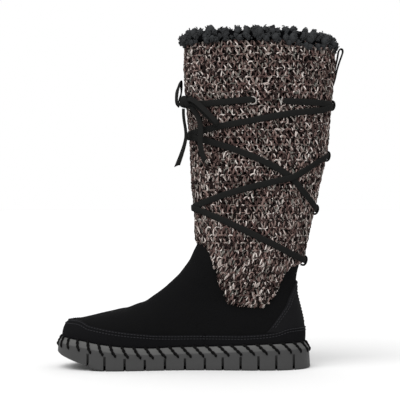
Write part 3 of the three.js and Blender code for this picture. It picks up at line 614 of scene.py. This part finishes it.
def soleRing(inset, heightAt, count):
    angle = 2 * math.pi * np.arange(count + 1) / count
    x = toeX + inset + (1 - np.cos(angle)) / 2 * (form["soleLength"] - 2 * inset)
    side = np.where(np.sin(angle) > 0, -1, 1)
    half = soleHalfWidth(x, side, inset)
    half[[0, count // 2, count]] = 0
    return np.stack([x, centreY(x) + side * half, heightAt(x)], -1)


def groovePlaces():
    places = [(i + 0.5) * 18.5 for i in range(-3, 3)]
    last = -2.5 * 18.5
    places += [last - i * 20.7 for i in range(1, 6)]
    return places + [last - 5 * 20.7 - 17.6]


# Stitch places, evenly spaced round the sole's edge
def stitchPlaces():
    ring = soleRing(soleValues["flare"], soleTop, 1440)
    length = np.concatenate([[0], np.cumsum(np.linalg.norm(np.diff(ring, axis=0), axis=1))])
    turns = np.linspace(0, 1, 1441)
    count = 48
    at = (np.arange(count) + 0.45) / count * length[-1]
    return np.interp(at, length, turns), length[-1]


def edgePoint(turn, inset):
    angle = 2 * math.pi * np.asarray(turn, float)
    x = toeX + inset + (1 - np.cos(angle)) / 2 * (form["soleLength"] - 2 * inset)
    side = np.where(np.sin(angle) > 0, -1, 1)
    return np.stack([x, centreY(x) + side * soleHalfWidth(x, side, inset), soleTop(x)], -1)


def makeSole():
    v = soleValues
    count = v["columns"]
    rows = []

    def row(inset, heightAt):
        rows.append(soleRing(inset, heightAt, count))

    def closing(ring, shares):  # rings drawn in to the centre line
        made = []
        for share in shares:
            drawn = ring.copy()
            drawn[:, 1] = centreY(ring[:, 0]) + (ring[:, 1] - centreY(ring[:, 0])) * share
            made.append(drawn)
        return made
    under = soleRing(v["treadBevel"] + 0.3, treadHeight, count)
    rows += closing(under, (0, 0.35, 0.7, 0.9))
    row(v["treadBevel"] + 0.3, treadHeight)
    row(v["treadBevel"] * 0.45, lambda x: treadHeight(x) + v["treadBevel"] * 0.25)
    row(0.1, lambda x: treadHeight(x) + v["treadBevel"] * 0.8)
    row(0, lambda x: treadHeight(x) + v["treadBevel"] + 0.4)
    low = lambda x: treadHeight(x) + v["treadBevel"] + 0.4
    high = lambda x: soleTop(x) - v["edgeDrop"]
    for share in (0.25, 0.5, 0.75):
        row(v["flare"] * share, lambda x, s=share: low(x) * (1 - s) + high(x) * s)
    row(v["flare"] - 0.02, lambda x: high(x) - 0.6)
    row(v["flare"] + 0.12, lambda x: high(x) - 0.1)
    row(v["flare"] + 0.45, lambda x: high(x) + 0.5)
    row(v["flare"] + v["edgeBevel"] * 0.5, lambda x: soleTop(x) - v["edgeDrop"] * 0.48)
    row(v["flare"] + v["edgeBevel"] - 0.4, lambda x: soleTop(x) - 0.55)
    row(v["flare"] + v["edgeBevel"] + 0.1, lambda x: soleTop(x) - 0.1)
    row(v["flare"] + v["edgeBevel"] + 0.6, soleTop)
    rows += closing(soleRing(v["flare"] + v["edgeBevel"] + 0.6, soleTop, count), (0.85, 0.4, 0))
    block = makePiece("outsole_rubber", [np.stack(rows)], soleFinish, ride=False)

    def prism(bm, outline, way):  # an outline pushed through the sole
        face = bm.faces.new([bm.verts.new(p) for p in outline])
        made = bmesh.ops.extrude_face_region(bm, geom=[face], use_keep_orig=True)
        moved = [g for g in made["geom"] if isinstance(g, bmesh.types.BMVert)]
        bmesh.ops.translate(bm, verts=moved, vec=Vector(way) * mm)

    def cutAway(bm):
        bmesh.ops.recalc_face_normals(bm, faces=bm.faces)
        mesh = bpy.data.meshes.new("soleCutter")
        bm.to_mesh(mesh)
        bm.free()
        cutter = bpy.data.objects.new("soleCutter", mesh)
        scene.collection.objects.link(cutter)
        cut = block.modifiers.new("cut", "BOOLEAN")
        cut.operation, cut.solver, cut.object = "DIFFERENCE", "EXACT", cutter
        shaped = bpy.data.meshes.new_from_object(
            block.evaluated_get(bpy.context.evaluated_depsgraph_get()))
        block.modifiers.clear()
        block.data = shaped
        bpy.data.objects.remove(cutter)
        print("sole cut to", len(shaped.polygons), "faces")

    bm = bmesh.new()
    for x in groovePlaces():
        inner = float(centreY(x) - soleHalfWidth(x, -1, 0))
        outer = float(centreY(x) + soleHalfWidth(x, 1, 0))
        end = float(soleTop(x)) - v["grooveBelowTop"]
        floor = float(treadHeight(x)) + v["grooveDepth"]
        lean = v["flare"] + 0.8
        outline = [(inner - 5, -5), (outer + 5, -5), (outer + 5, end), (outer - lean, end),
                   (outer - v["grooveBite"], floor), (inner + v["grooveBite"], floor),
                   (inner + lean, end), (inner - 5, end)]
        wide = v["grooveWidth"]
        prism(bm, [Vector((x - wide / 2, y, z)) * mm for y, z in outline], (wide, 0, 0))
    cutAway(bm)
    bm = bmesh.new()
    firstX = min(groovePlaces())
    tread = float(treadHeight(firstX)) + 1.2
    outline = [(firstX, -18), (firstX, tread), (toeX + 6.7, 14.4), (toeX, 18), (toeX - 60, 18),
               (toeX - 60, -18)]
    prism(bm, [Vector((x, -90, z)) * mm for x, z in outline], (0, 180, 0))
    # the stitch holes in the side wall
    turns, around = stitchPlaces()
    for turn in turns:
        centre = edgePoint(turn, v["flare"] * 0.8)
        ahead = edgePoint(turn + 0.002, v["flare"] * 0.8) - edgePoint(turn - 0.002,
                                                                    v["flare"] * 0.8)
        out = unit(np.array([ahead[1], -ahead[0], 0]))
        made = bmesh.ops.create_cone(bm, cap_ends=True, segments=8, radius1=0.6 * mm,
                                     radius2=v["holeRadius"] * mm, depth=4 * mm)
        turned = Vector(out.tolist()).to_track_quat("Z", "Y").to_matrix()
        bmesh.ops.rotate(bm, verts=made["verts"], matrix=turned)
        spot = centre + out * 0.3
        bmesh.ops.translate(bm, verts=made["verts"],
                            vec=Vector((spot[0], spot[1], spot[2] - v["holeDrop"])) * mm)
    cutAway(bm)
    shaped = block.data
    bm = bmesh.new()
    bm.from_mesh(shaped)
    for face in bm.faces:
        face.smooth = True
    for edge in bm.edges:
        if len(edge.link_faces) == 2 and edge.calc_face_angle(0) > 0.6:
            edge.smooth = False
    bm.to_mesh(shaped)
    bm.free()
    finishPiece(block, ["outsole"])
    return turns, around


stitchTurns, edgeLength = makeSole()


# Whipstitches: two plies of waxed cord laid from a hole in the wall up into the rand's joint
def makeWhipstitches():
    lean = 8.2 / edgeLength  # the upper end lies nearer the toe
    grids = []
    for turn in stitchTurns:
        toward = -1 if turn < 0.5 else 1
        ease = min(turn, 1 - turn, 0.06) / 0.06
        upper = turn + toward * lean * (0.35 + 0.65 * ease)
        stops = [(0.0, 2.6, -9.6), (0.02, 1.2, -9.2), (0.08, 0.7, -8.4), (0.28, 1.2, -6.5),
                 (0.6, 3.1, -2.9), (0.85, 4.8, 0.2), (0.97, 6.3, 0.9), (1.0, 8.4, 0.6)]
        path = np.array([edgePoint(turn + (upper - turn) * share, inset) + [0, 0, rise]
                         for share, inset, rise in stops])
        path = smoothPath(path, 15)
        ahead = edgePoint(turn + 0.002, 1) - edgePoint(turn - 0.002, 1)
        out = unit(np.array([ahead[1], -ahead[0], 0.9 * np.linalg.norm(ahead)]))
        along = unit(np.gradient(path, axis=0))
        across = unit(np.cross(along, out))
        face = np.cross(across, along)
        wind = np.linspace(0, 2 * math.pi * 2.2, len(path))
        for start in (0, math.pi):
            shift = (np.cos(wind + start)[:, None] * face + np.sin(wind + start)[:, None] * across)
            grids.append(tubeGrid(path + shift * 0.76, face, 1.02, sides=6))
    makePiece("sole_whipstitches", grids, stitchCordFinish)


makeWhipstitches()
print("sole ready")

# Suede foot
footValues = {"columns": 288, "rows": 112, "wall": 2.2, "rim": 0.5}
# soft creases: side view points (x, z), how wide, how deep
creases = [
    ([(-128, 62), (-122, 52), (-119, 44)], 4.5, -0.55),
    ([(-109, 69), (-104, 58), (-101, 46)], 5.0, -0.45),
    ([(-118, 65), (-113, 54), (-110, 44)], 4.5, 0.3),
    ([(-71, 96), (-58, 88), (-47, 84)], 5.0, -0.5),
    ([(-62, 113), (-52, 104), (-44, 99)], 4.5, -0.45),
    ([(-30, 70), (-18, 60), (2, 56)], 6.0, -0.35),
    ([(18, 60), (30, 66), (38, 78)], 6.0, -0.35),
    ([(-170, 55), (-160, 50), (-146, 46)], 6.0, -0.3),
]


def creaseDepth(points):
    total = np.zeros(points.shape[:-1])
    flat = points[..., [0, 2]]
    for line, width, depth in creases:
        line = np.array(line, float)
        nearest = np.full(flat.shape[:-1], 1e9)
        for a, b in zip(line[:-1], line[1:]):
            span = b - a
            t = np.clip(((flat - a) @ span) / (span @ span), 0, 1)
            nearest = np.minimum(nearest, np.linalg.norm(flat - a - t[..., None] * span, axis=-1))
        total += depth * np.exp(-(nearest / width) ** 2)
    return total


def footSurface(turns, shares, outward):
    # shares run from the sole (0) to the knit's seam (1)
    seam = meetingHeight(turns, knitSeam, 60, 134)
    base = soleTop(formPoint(turns, np.full(len(turns), 28.0))[:, 0]) + 0.3
    fine = np.linspace(23.5, instep, 2000)
    ridge = np.concatenate([[0], np.cumsum(np.hypot(np.diff(frontX(fine)), np.diff(fine)))])
    level = np.interp(shares, ridge / ridge[-1], fine)
    height = base + (level[:, None] - 23.5) * (seam - base) / (instep - 23.5)
    return layerPoint(turns[None, :], height, np.broadcast_to(outward, height.shape)), height


def makeFoot():
    v = footValues
    turns = np.linspace(0, 1, v["columns"] + 1)
    shares = np.linspace(0, 1, v["rows"])
    outer, height = footSurface(turns, shares, np.zeros((v["rows"], len(turns))))
    normals = formNormal(np.broadcast_to(turns, height.shape), height)
    soft = creaseDepth(outer) + 0.35 * lumps(outer, 22, 3.1) + 0.12 * lumps(outer, 7, 9.4)
    soft *= smoothStep(shares, 0.0, 0.12)[:, None] * smoothStep(1.02 - shares, 0, 0.06)[:, None]
    outer = outer + normals * soft[..., None]
    seam = height[-1]
    rows = [outer]
    for rise, out in ((0.7, v["rim"]), (1.3, 0.1), (1.6, -0.7), (1.2, -1.6), (0, -v["wall"])):
        rows.append(layerPoint(turns, seam + rise, np.full(len(turns), out))[None])
    inner, _ = footSurface(turns, np.linspace(0.97, 0, 24),
                           np.full((24, len(turns)), -v["wall"]))
    rows += [inner, outer[:1]]
    grid = np.concatenate(rows)
    grid[:, -1] = grid[:, 0]
    makePiece("upper_suede", [grid], suedeFinish, ["upper"])


makeFoot()


# A flat overlay with rounded edges, as rings of a closed band round the foot
def makeRand():
    turns = np.linspace(0, 1, 361)
    base = soleTop(formPoint(turns, np.full(361, 28.0))[:, 0]) + 0.3
    top = meetingHeight(turns, randTop, 30, 60)
    joint = np.exp(-((formPoint(turns, base + 6)[:, 0] + 46.5) / 1.5) ** 2)
    section = [(0, 0.15), (0, 1.0), (0.02, 1.6), (0.1, 1.95), (0.3, 2.1), (0.5, 2.15), (0.7, 2.1),
               (0.85, 1.95), (0.93, 1.75), (0.975, 1.45), (1, 0.95), (1.0, 0.15)]
    rows = []
    for share, out in section:
        height = base + (top - base) * share
        depth = out - joint * (1.3 if 0 < share < 1 else 0.5) * (out > 1)
        rows.append(layerPoint(turns, height, depth))
    grid = np.stack(rows + rows[:1])
    grid += formNormal(turns, base + 5)[None] * (
        0.18 * lumps(grid, 16, 5.5) * (np.array([o for _, o in section] + [0.15])
                                       > 1)[:, None])[..., None]
    grid[-1] = grid[0]
    grid[:, -1] = grid[:, 0]
    makePiece("rand_band", [grid], randFinish, ["rand"])


makeRand()


def turnAt(x, height):
    front, back = frontX(height), backX(height)
    share = np.clip((x - front) / (back - front), 0, 1)
    return np.arccos(1 - 2 * share) / (2 * math.pi)


def makeCounter():
    rows, columns = 46, 90
    low = float(meetingHeight(np.array([0.5]), randTop, 30, 60)[0])
    share = np.linspace(0, 1, rows)
    grid = []
    for s in share:
        height = 38.6 + (92.2 - 38.6) * s
        first = float(turnAt(counterFront(height), height))
        turns = first + (1 - 2 * first) * (1 - np.cos(np.linspace(0, math.pi, columns))) / 2
        place = formPoint(turns, np.full(columns, height))
        below = randTop(place[:, 0]) - 0.5
        heights = np.maximum(height, below + (height - 38.6) * 0.02)
        run = np.linalg.norm(np.diff(place, axis=0), axis=1)
        fromEnd = np.minimum(np.concatenate([[0], np.cumsum(run)]),
                             np.concatenate([[0], np.cumsum(run[::-1])])[::-1])
        edge = np.minimum(fromEnd, (92.2 - height))
        rise = np.sqrt(1 - (1 - np.clip(edge / 1.1, 0, 1)) ** 2)
        out = -0.35 + rise * 1.75
        middle = np.exp(-(place[:, 1] / 0.9) ** 2)
        out = out - 0.7 * middle * (rise > 0.5)
        grid.append(layerPoint(turns, heights, out))
    piece = makePiece("heel_counter_overlay", [np.stack(grid)], counterFinish,
                      ride=False)
    wall = piece.modifiers.new("wall", "SOLIDIFY")
    wall.thickness, wall.offset = 0.4 * mm, -1
    finishPiece(piece, ["heel_counter"])


makeCounter()


# Seam stitches: short raised threads along a line of the form
def stitchLine(places, normals, pitch, long, radius):
    length = np.concatenate([[0], np.cumsum(np.linalg.norm(np.diff(places, axis=0), axis=1))])
    grids = []
    for start in np.arange(pitch / 2, length[-1] - long, pitch):
        at = start + long * np.array([0, 0.2, 0.5, 0.8, 1])
        lift = np.array([-0.5, 0.3, 0.42, 0.3, -0.5]) * radius * 2
        path = np.stack([np.interp(at, length, places[:, k]) for k in range(3)], -1)
        face = np.stack([np.interp(at, length, normals[:, k]) for k in range(3)], -1)
        grids.append(tubeGrid(path + unit(face) * lift[:, None], face, radius, sides=5,
                              capped=False))
    return grids


def makeSeamStitches():
    grids = []
    turns = np.linspace(0, 1, 900)
    top = meetingHeight(turns, randTop, 30, 60)
    for below in (1.5, 4.0):
        height = top - below
        grids += stitchLine(layerPoint(turns, height, np.full(900, 2.1)),
                            formNormal(turns, height), 3.3, 1.8, 0.38)
    heights = np.linspace(43, 91, 120)
    for inset in (1.6, 4.2):
        for side in (1, -1):
            turn = turnAt(counterFront(heights) + inset, heights)
            turn = turn if side > 0 else 1 - turn
            grids += stitchLine(layerPoint(turn, heights, np.full(120, 1.35)),
                                formNormal(turn, heights), 3.3, 1.8, 0.38)
    for shift in (-2.4, 2.4):
        heights = np.linspace(46, 90, 100)
        turn = 0.5 + shift / 240
        grids += stitchLine(layerPoint(np.full(100, turn), heights, np.full(100, 1.35)),
                            formNormal(np.full(100, turn), heights), 3.4, 1.9, 0.36)
    makePiece("seam_stitches", grids, threadFinish)


makeSeamStitches()
print("foot ready")

# Knitted leg: seed stitch, one strand of yarn for each course
knitValues = {"stitches": 66, "rowHeight": 7.8, "radius": 1.42, "centre": 1.75, "depth": 0.85,
              "sides": 6, "stations": 12}


def makeKnit():
    v = knitValues
    rng = np.random.default_rng(4)
    count, per = v["stitches"], v["stations"]
    bottom, top = 62.0, form["collarHeight"] + 1
    rows = int((top - bottom) / v["rowHeight"]) + 1
    pieces = [[], []]
    uvs = [[], []]
    total = count * per
    t = np.arange(total + 1) / per * 2 * math.pi
    local = np.mod(t, 2 * math.pi)
    for i in range(rows):
        base = bottom + (i + 0.5) * v["rowHeight"]
        jitter = rng.normal(0, 1, (4, count))
        jitter = np.concatenate([jitter, jitter[:, :1]], axis=1)
        stitchAt = t / (2 * math.pi)
        slip, liftUp, liftOut, plump = [np.interp(stitchAt, np.arange(count + 1), j)
                                        for j in jitter]
        # knit and purl stitches take turns along a row and from row to row
        sign = np.clip(np.cos(math.pi * (stitchAt - 0.5 + i)) * 1.9, -1, 1)
        shift = 0.31 * np.sin(2 * local)
        place = (stitchAt + shift + 0.06 * slip) / count
        turns, _ = evenTurns(np.clip(base, 66, 339), np.mod(place, 1))
        height = base - 0.61 * v["rowHeight"] * np.cos(local) + 0.45 * liftUp
        out = v["centre"] + v["depth"] * np.cos(2 * local) * sign + 0.22 * liftOut
        points = formPoint(turns, height)
        edge = height - knitSeam(points[:, 0])
        tucked = -1.2 + (out + 1.2) * np.sqrt(np.clip(edge + 0.5, 0, 4) / 4)
        out = np.where(edge < 3.5, tucked, out)
        out = out - 1.2 * smoothStep(height, 334, 341)
        places = layerPoint(turns, height, out)
        face = formNormal(turns, height)
        keep = (edge > -1.5) & (height < form["collarHeight"] + 2)
        step = np.linalg.norm(np.diff(places, axis=0), axis=1)
        run = np.concatenate([[0], np.cumsum(step)]) + i * 977.3
        group = 0 if i < rows * 0.56 else 1
        radius = v["radius"] * (1 + 0.08 * plump)

        def strand(chosen, closed):
            grid = tubeGrid(places[chosen], face[chosen], radius[chosen], sides=v["sides"],
                            capped=not closed)
            if closed:
                grid[-1] = grid[0]
            long = run[chosen]
            if not closed:
                long = np.concatenate([long[:1], long, long[-1:]])
            uv = np.stack(np.broadcast_arrays(long[:, None],
                                              np.linspace(0, 1, v["sides"] + 1)[None, :]), -1)
            pieces[group].append(grid)
            uvs[group].append(uv)
        if keep.all():
            strand(np.arange(total + 1), True)
            continue
        edges = np.flatnonzero(np.diff(keep.astype(int)))
        bounds = np.concatenate([[0], edges + 1, [total + 1]])
        for a, b in zip(bounds[:-1], bounds[1:]):
            if keep[a] and b - a > 4:
                strand(np.arange(a, b), False)
    makePiece("knit_leg_lower", pieces[0], yarnFinish, ["shaft"], uvs=uvs[0])
    makePiece("knit_leg_upper", pieces[1], yarnFinish, uvs=uvs[1])


makeKnit()


def closedWall(turns, lowHeight, highHeight, outer, inner, rows):
    share = np.linspace(0, 1, rows)[:, None]
    height = lowHeight + (highHeight - lowHeight) * share
    shape = height.shape
    front = layerPoint(turns[None, :], height, np.full(shape, outer))
    back = layerPoint(turns[None, :], height[::-1], np.full(shape, inner))
    grid = np.concatenate([front, back, front[:1]])
    grid[:, -1] = grid[:, 0]
    return grid


def makeKnitShadeSheetAndLining():
    turns = np.linspace(0, 1, 181)
    seam = meetingHeight(turns, knitSeam, 60, 134) - 5
    high = np.full(181, form["collarHeight"] + 1.5)
    # a near-black sheet just behind the knit: painted shade, seen in the gaps between stitches
    grid = closedWall(turns, seam, high, 0.35, -1.0, 60)
    for k in range(3):
        grid[k] = layerPoint(turns, seam + 2.5 * k, np.full(181, -0.75))
    grid[-1] = grid[0]
    makePiece("knit_gap_shade_sheet", [grid], knitGapShadeFinish)
    lining = closedWall(turns, np.full(181, 40.0), high - 1, -2.6, -6.0, 70)
    softness = 0.9 * lumps(lining, 6, 2.2)
    centre = lining.mean(axis=1, keepdims=True)
    inward = unit(centre - lining) * softness[..., None]
    inward[:, :, 2] = 0
    inward[:70] = 0
    lining = lining + inward
    lining[-1] = lining[0]
    lining[:, -1] = lining[:, 0]
    makePiece("fleece_lining", [lining], fleeceFinish)


makeKnitShadeSheetAndLining()
print("knit ready")

# Fleece that rolls out over the collar
cuffValues = {"out": 3.6, "inside": 9, "curlRadius": 1.65, "hair": 0.72, "curlsPerLock": 9,
              "lockRows": [(-0.75, 50, 3.6), (-0.05, 46, 4.2), (0.75, 44, 4.3), (1.55, 40, 4.2),
                           (2.4, 36, 4.0)]}
# its top and lower edge, seen from the side
cuffTop = follow([-75, -68, -58, 43, 67, 94], [349, 351, 354.4, 354.6, 351.5, 348])
cuffLow = follow([-75, -44, -7, 27, 44, 94], [337, 340, 342, 339.5, 335.5, 331.5])


def cuffPoint(turn, angle):
    # angle 0 looks out, a quarter turn looks up
    v = cuffValues
    turn, angle = np.broadcast_arrays(np.asarray(turn, float), np.asarray(angle, float))
    middle = (v["out"] - v["inside"]) / 2
    wide = (v["out"] + v["inside"]) / 2
    cos, sin = np.cos(angle), np.sin(angle)
    outward = np.sign(cos) * np.abs(cos) ** 0.75
    level = np.full(turn.shape, float(form["collarHeight"]))
    collar = formPoint(turn, level)
    high, low = cuffTop(collar[..., 0]), cuffLow(collar[..., 0])
    low = np.where(outward < -0.3, form["collarHeight"] - 1, low)
    more = (2.6 * np.exp(-((collar[..., 0] + 66) / 12) ** 2)
            + 1.2 * smoothStep(collar[..., 0], 30, 80))
    out = middle + wide * outward + more * (outward > 0) * outward
    place = layerPoint(turn, level, out)
    place[..., 2] = (high + low) / 2 + (high - low) / 2 * np.sign(sin) * np.abs(sin) ** 0.8
    return place


def makeCuff():
    v = cuffValues
    rng = np.random.default_rng(11)
    angles = np.linspace(0, 2 * math.pi, 25)
    turnGrid, angleGrid = np.meshgrid(np.linspace(0, 1, 217), angles)
    grid = cuffPoint(turnGrid, angleGrid)
    centre = grid[:-1].mean(axis=0, keepdims=True)
    grid = grid + unit(grid - centre) * (-2.2 + 1.2 * lumps(grid, 5, 1.7))[..., None]
    grid[-1] = grid[0]
    grid[:, -1] = grid[:, 0]
    # the core ring under the locks is near black: painted shade in the gaps between them
    makePiece("fleece_cuff_base", [grid], shadeFinish)
    grids = []
    # locks: rounded lumps side by side in rows, each covered with curls
    for row, (angle, count, size) in enumerate(v["lockRows"]):
        even, _ = evenTurns(form["collarHeight"], (np.arange(count) + 0.5 * (row % 2)) / count)
        for turn in even:
            tilt = angle + rng.uniform(-0.22, 0.22)
            place = turn + rng.uniform(-0.35, 0.35) / count
            spot = cuffPoint([place], [tilt])[0]
            middle = cuffPoint([place], [tilt + math.pi])[0]
            away = unit(spot - (spot + middle) / 2)
            clump = noise.noise([spot[0] / 7, spot[1] / 7, spot[2] / 7 + 3.3])
            reach = size * rng.uniform(0.75, 1.15) * (1 + 0.8 * clump)
            core = spot + away * (clump * 3.2 - reach * 0.55)
            axis = unit(rng.normal(0, 1, 3) * 0.5 + [0, 0, 1])
            spread = np.linspace(-1, 1, 7)
            roundness = np.sqrt(np.maximum(1 - spread ** 2, 0.02))
            stem = core + axis * spread[:, None] * reach * 0.95
            grids.append(tubeGrid(stem, np.repeat(away[None], 7, 0) + 0.01,
                                  reach * 0.76 * roundness, sides=8))
            for _ in range(v["curlsPerLock"]):
                way = unit(away + rng.normal(0, 0.85, 3))
                start = core + way * reach * 0.84
                turning = unit(rng.normal(0, 1, 3))
                first = unit(np.cross(turning, way + 0.01))
                second = np.cross(turning, first)
                curl = v["curlRadius"] * rng.uniform(0.55, 1.1)
                bend = np.linspace(0, rng.uniform(3.2, 5.2), 7)
                path = (start + curl * (np.cos(bend)[:, None] * first
                                        + np.sin(bend)[:, None] * second)
                        + turning * bend[:, None] * rng.uniform(0.1, 0.4))
                thin = v["hair"] * np.array([0.5, 0.95, 1.05, 1.05, 1, 0.8, 0.4])
                grids.append(tubeGrid(path, np.repeat(way[None], 7, 0) + 0.02, thin, sides=5))
    makePiece("fleece_cuff_curls", grids, fleeceFinish, ["fleece_cuff"])


makeCuff()
print("fleece ready")

# Lace round the leg: flat thong, crossed at the front and held by the tabs at the back
laceValues = {"width": 6.6, "thickness": 1.5, "seat": 4.1, "over": 1.5,
              "holes": (0.449, 0.667), "topRise": 0.708, "intoHole": 0.007}
# Each strand runs from the back by the inner side to the front and on by the outer side. A side
# is given as heights (shares of the leg) at shares of the leg's depth, front to back.
lowPair = ([0, 1], [0.177, -0.086])
crossUp = ([0, 0.28, 0.69, 0.755, 1], [0.183, 0.25, 0.318, 0.329, 0.445])
crossDown = ([0, 0.43, 0.755, 0.86, 1], [0.54, 0.436, 0.329, 0.262, 0.174])
highPair = ([0, 0.19, 0.41, 0.73, 0.93, 1], [0.55, 0.579, 0.606, 0.648, 0.668, 0.695])
laceStrands = [(lowPair, ([0, 1], [0.177, 0.174])), (crossUp, ([0, 1], [0.183, -0.086])),
               (crossDown, ([0, 1], [0.54, 0.695])), (highPair, ([0, 1], [0.55, 0.445]))]


def laceHeight(share):
    return instep + np.asarray(share) * legHeight


def holeTurn(which, side=1):
    turn = math.acos(1 - 2 * laceValues["holes"][which]) / (2 * math.pi)
    return turn if side > 0 else 1 - turn


def makeLace():
    v = laceValues
    steps = 260
    turns = np.linspace(-0.5, 0.5, steps)  # from the back round the outer side to the inner
    shareOf = (1 - np.cos(2 * math.pi * turns)) / 2
    lines = []
    for inner, outer in laceStrands:
        rise = np.where(turns > 0, follow(*inner)(shareOf), follow(*outer)(shareOf))
        soften(rise, 5)
        lines.append(rise)
    grids = []
    for i, rise in enumerate(lines):
        out = np.full(steps, v["seat"])
        for j, other in enumerate(lines):
            if j == i:
                continue
            apart = np.abs(rise - other) * legHeight
            above = (i > j) == ((i + j) % 2 == 0)
            bump = np.exp(-(apart / 5.5) ** 2)
            out = out + bump * (v["over"] if above else -0.2)
        out = np.minimum(out, v["seat"] + 1.7 * v["over"]) + 0.9 * smoothStep(shareOf, 0.9, 1)
        soften(out, 3)
        height = laceHeight(rise)
        place = layerPoint(np.mod(turns, 1), height, out)
        face = formNormal(np.mod(turns, 1), height)
        grids.append(tubeGrid(place, face, v["thickness"] / 2, v["width"] / 2, 12, square=3))
    level = float(laceHeight(v["topRise"]))
    first, second = holeTurn(0), holeTurn(1)

    def band(fromTurn, toTurn, wide):
        at = np.linspace(fromTurn, toTurn, 90)
        end = np.minimum(np.arange(90), np.arange(90)[::-1])
        dive = np.clip(end / 2.2, 0, 1)
        out = -1.5 + (v["seat"] + 1.5) * np.sqrt(1 - (1 - dive) ** 2)
        height = level + np.interp(formPoint(np.mod(at, 1), np.full(90, level))[:, 0],
                                   [-68, -40, 5, 31, 90], [-1.2, -2.4, 1.4, -0.3, -1.8])
        place = layerPoint(np.mod(at, 1), height, out)
        face = formNormal(np.mod(at, 1), height)
        width = wide / 2 * (0.75 + 0.25 * dive)
        grids.append(tubeGrid(place, face, v["thickness"] / 2, width, 12, square=3))
    band(-first - v["intoHole"], first + v["intoHole"], v["width"] + 0.2)
    band(second - v["intoHole"], 1 - second + v["intoHole"], v["width"])
    makePiece("lace_wraps_thong", grids, thongFinish, ["lace_wraps"])


makeLace()


# Light strands of yarn round the first hole and beside the second
def makeHoleYarn():
    grids, uvs = [], []
    level = float(laceHeight(laceValues["topRise"]))

    def strand(points, radius):
        path = smoothPath(points, 22)
        face = np.repeat(unit(np.array([[0, -1.0, 0]])), 22, 0)
        grid = tubeGrid(path, face, radius, sides=6)
        long = np.linspace(0, pathLength(path), 24)
        grids.append(grid)
        uvs.append(np.stack(np.broadcast_arrays(long[:, None],
                                                np.linspace(0, 1, 7)[None, :]), -1))
    for side in (1, -1):
        turn = holeTurn(0, side)
        normal = formNormal(np.array([turn]), np.array([level]))[0]
        spot = layerPoint(np.array([turn]), np.array([level]), np.array([4.1]))[0]
        right = unit(np.cross(np.array([0, 0, 1.0]), normal))
        right = right * (1 if right[0] > 0 else -1)
        around = np.linspace(-2.3, 2.3, 12)
        strand([spot + right * (-0.9 + 3.9 * math.cos(a)) + np.array([0, 0, 3.9 * math.sin(a)])
                for a in around], 0.62)
        turn = holeTurn(1, side)
        spot = layerPoint(np.array([turn]), np.array([level]), np.array([4.3]))[0]
        strand([spot + right * -7.5 + [0, 0, 3.6], spot + right * -5.2 + [0, 0, -1],
                spot + right * -4.2 + [0, 0, -4.2]], 0.62)
        strand([spot + right * -3.0 + [0, 0, 3.8], spot + right * -3.9 + [0, 0, 0],
                spot + right * -4.4 + [0, 0, -4.4]], 0.62)
    makePiece("hole_yarn", grids, lightYarnFinish, uvs=uvs)


makeHoleYarn()

# Pull loop: a folded strap sewn to the back seam
pullValues = {"width": 9.0, "thickness": 1.7,
              "route": [(299, 3.2), (306, 4.4), (313, 5.2), (319, 6.6), (325, 8.6), (330.5, 10.6),
                        (334.5, 11.6), (336.8, 10.9), (337.2, 9.2), (335, 7.4), (330.5, 6.4),
                        (325, 5.4), (318, 3.8), (311, 3.0), (303, 2.6)]}


def makePullLoop():
    v = pullValues
    route = np.array([layerPoint(0.5, height, out) for height, out in v["route"]])
    path = smoothPath(route, 60)
    along = unit(np.gradient(path, axis=0))
    face = np.cross(along, [0, 1.0, 0])
    grid = tubeGrid(path, face, v["thickness"] / 2, v["width"] / 2, 14, square=3.4)
    makePiece("pull_loop_strap", [grid], thongFinish, ["pull_loop"])


makePullLoop()

# Tabs on the back seam that hold the lace
tabValues = {"width": 6.4, "thickness": 2.1, "half": 4.8, "reach": 6.9,
             "rises": (-0.086, 0.174, 0.445, 0.702)}


def makeTabs():
    v = tabValues
    for i, rise in enumerate(v["rises"]):
        level = float(laceHeight(rise))
        bend = np.linspace(-0.25, math.pi + 0.25, 26)
        arch = np.sign(np.sin(bend)) * np.abs(np.sin(bend)) ** 0.7
        out = 3.2 + (v["reach"] - 3.2) * arch
        path = layerPoint(np.full(26, 0.5), level - 0.6 + v["half"] * np.cos(bend), out)
        along = unit(np.gradient(path, axis=0))
        face = np.cross(along, [0, 1.0, 0])
        grid = tubeGrid(path, face, v["thickness"] / 2, v["width"] / 2, 12, square=3.4)
        makePiece(f"lace_tab_{i + 1}", [grid], thongFinish, [f"lace_loop_{i + 1}"])


makeTabs()

# The CAD footbed keeps its shape and gets its finish
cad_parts["insole"].material_slots[0].material = footbedFinish
print("lace ready")

# Floor and light
floorMesh = bpy.data.meshes.new("floor")
bm = bmesh.new()
bmesh.ops.create_grid(bm, x_segments=1, y_segments=1, size=20)
bm.to_mesh(floorMesh)
bm.free()
floor = bpy.data.objects.new("floor", floorMesh)
floorFinish, floorShader = newMaterial("paleFloor", 0.9, 0, 0.0, (0.575, 0.575, 0.575, 1))
floorMesh.materials.append(floorFinish)
scene.collection.objects.link(floor)

world = bpy.data.worlds.new("studio")
scene.world = world
world.use_nodes = True
world.node_tree.nodes["Background"].inputs[0].default_value = (1, 1, 1, 1)
world.node_tree.nodes["Background"].inputs[1].default_value = 1.0
scene.view_settings.view_transform = "Standard"

lightValues = [  # name, direction it comes from, softness in degrees, strength
    ("keyLight", (-0.45, -0.75, 1.15), 50, 2.8),
    ("fillLight", (0.8, -1.0, 0.35), 80, 0.35),
    ("backLight", (0.3, 1.0, 0.9), 70, 0.7),
]
for name, way, softness, strength in lightValues:
    data = bpy.data.lights.new(name, "SUN")
    data.angle, data.energy = math.radians(softness), strength
    light = bpy.data.objects.new(name, data)
    light.location = Vector(way) * 2
    light.rotation_euler = Vector(way).to_track_quat("Z", "Y").to_euler()
    scene.collection.objects.link(light)
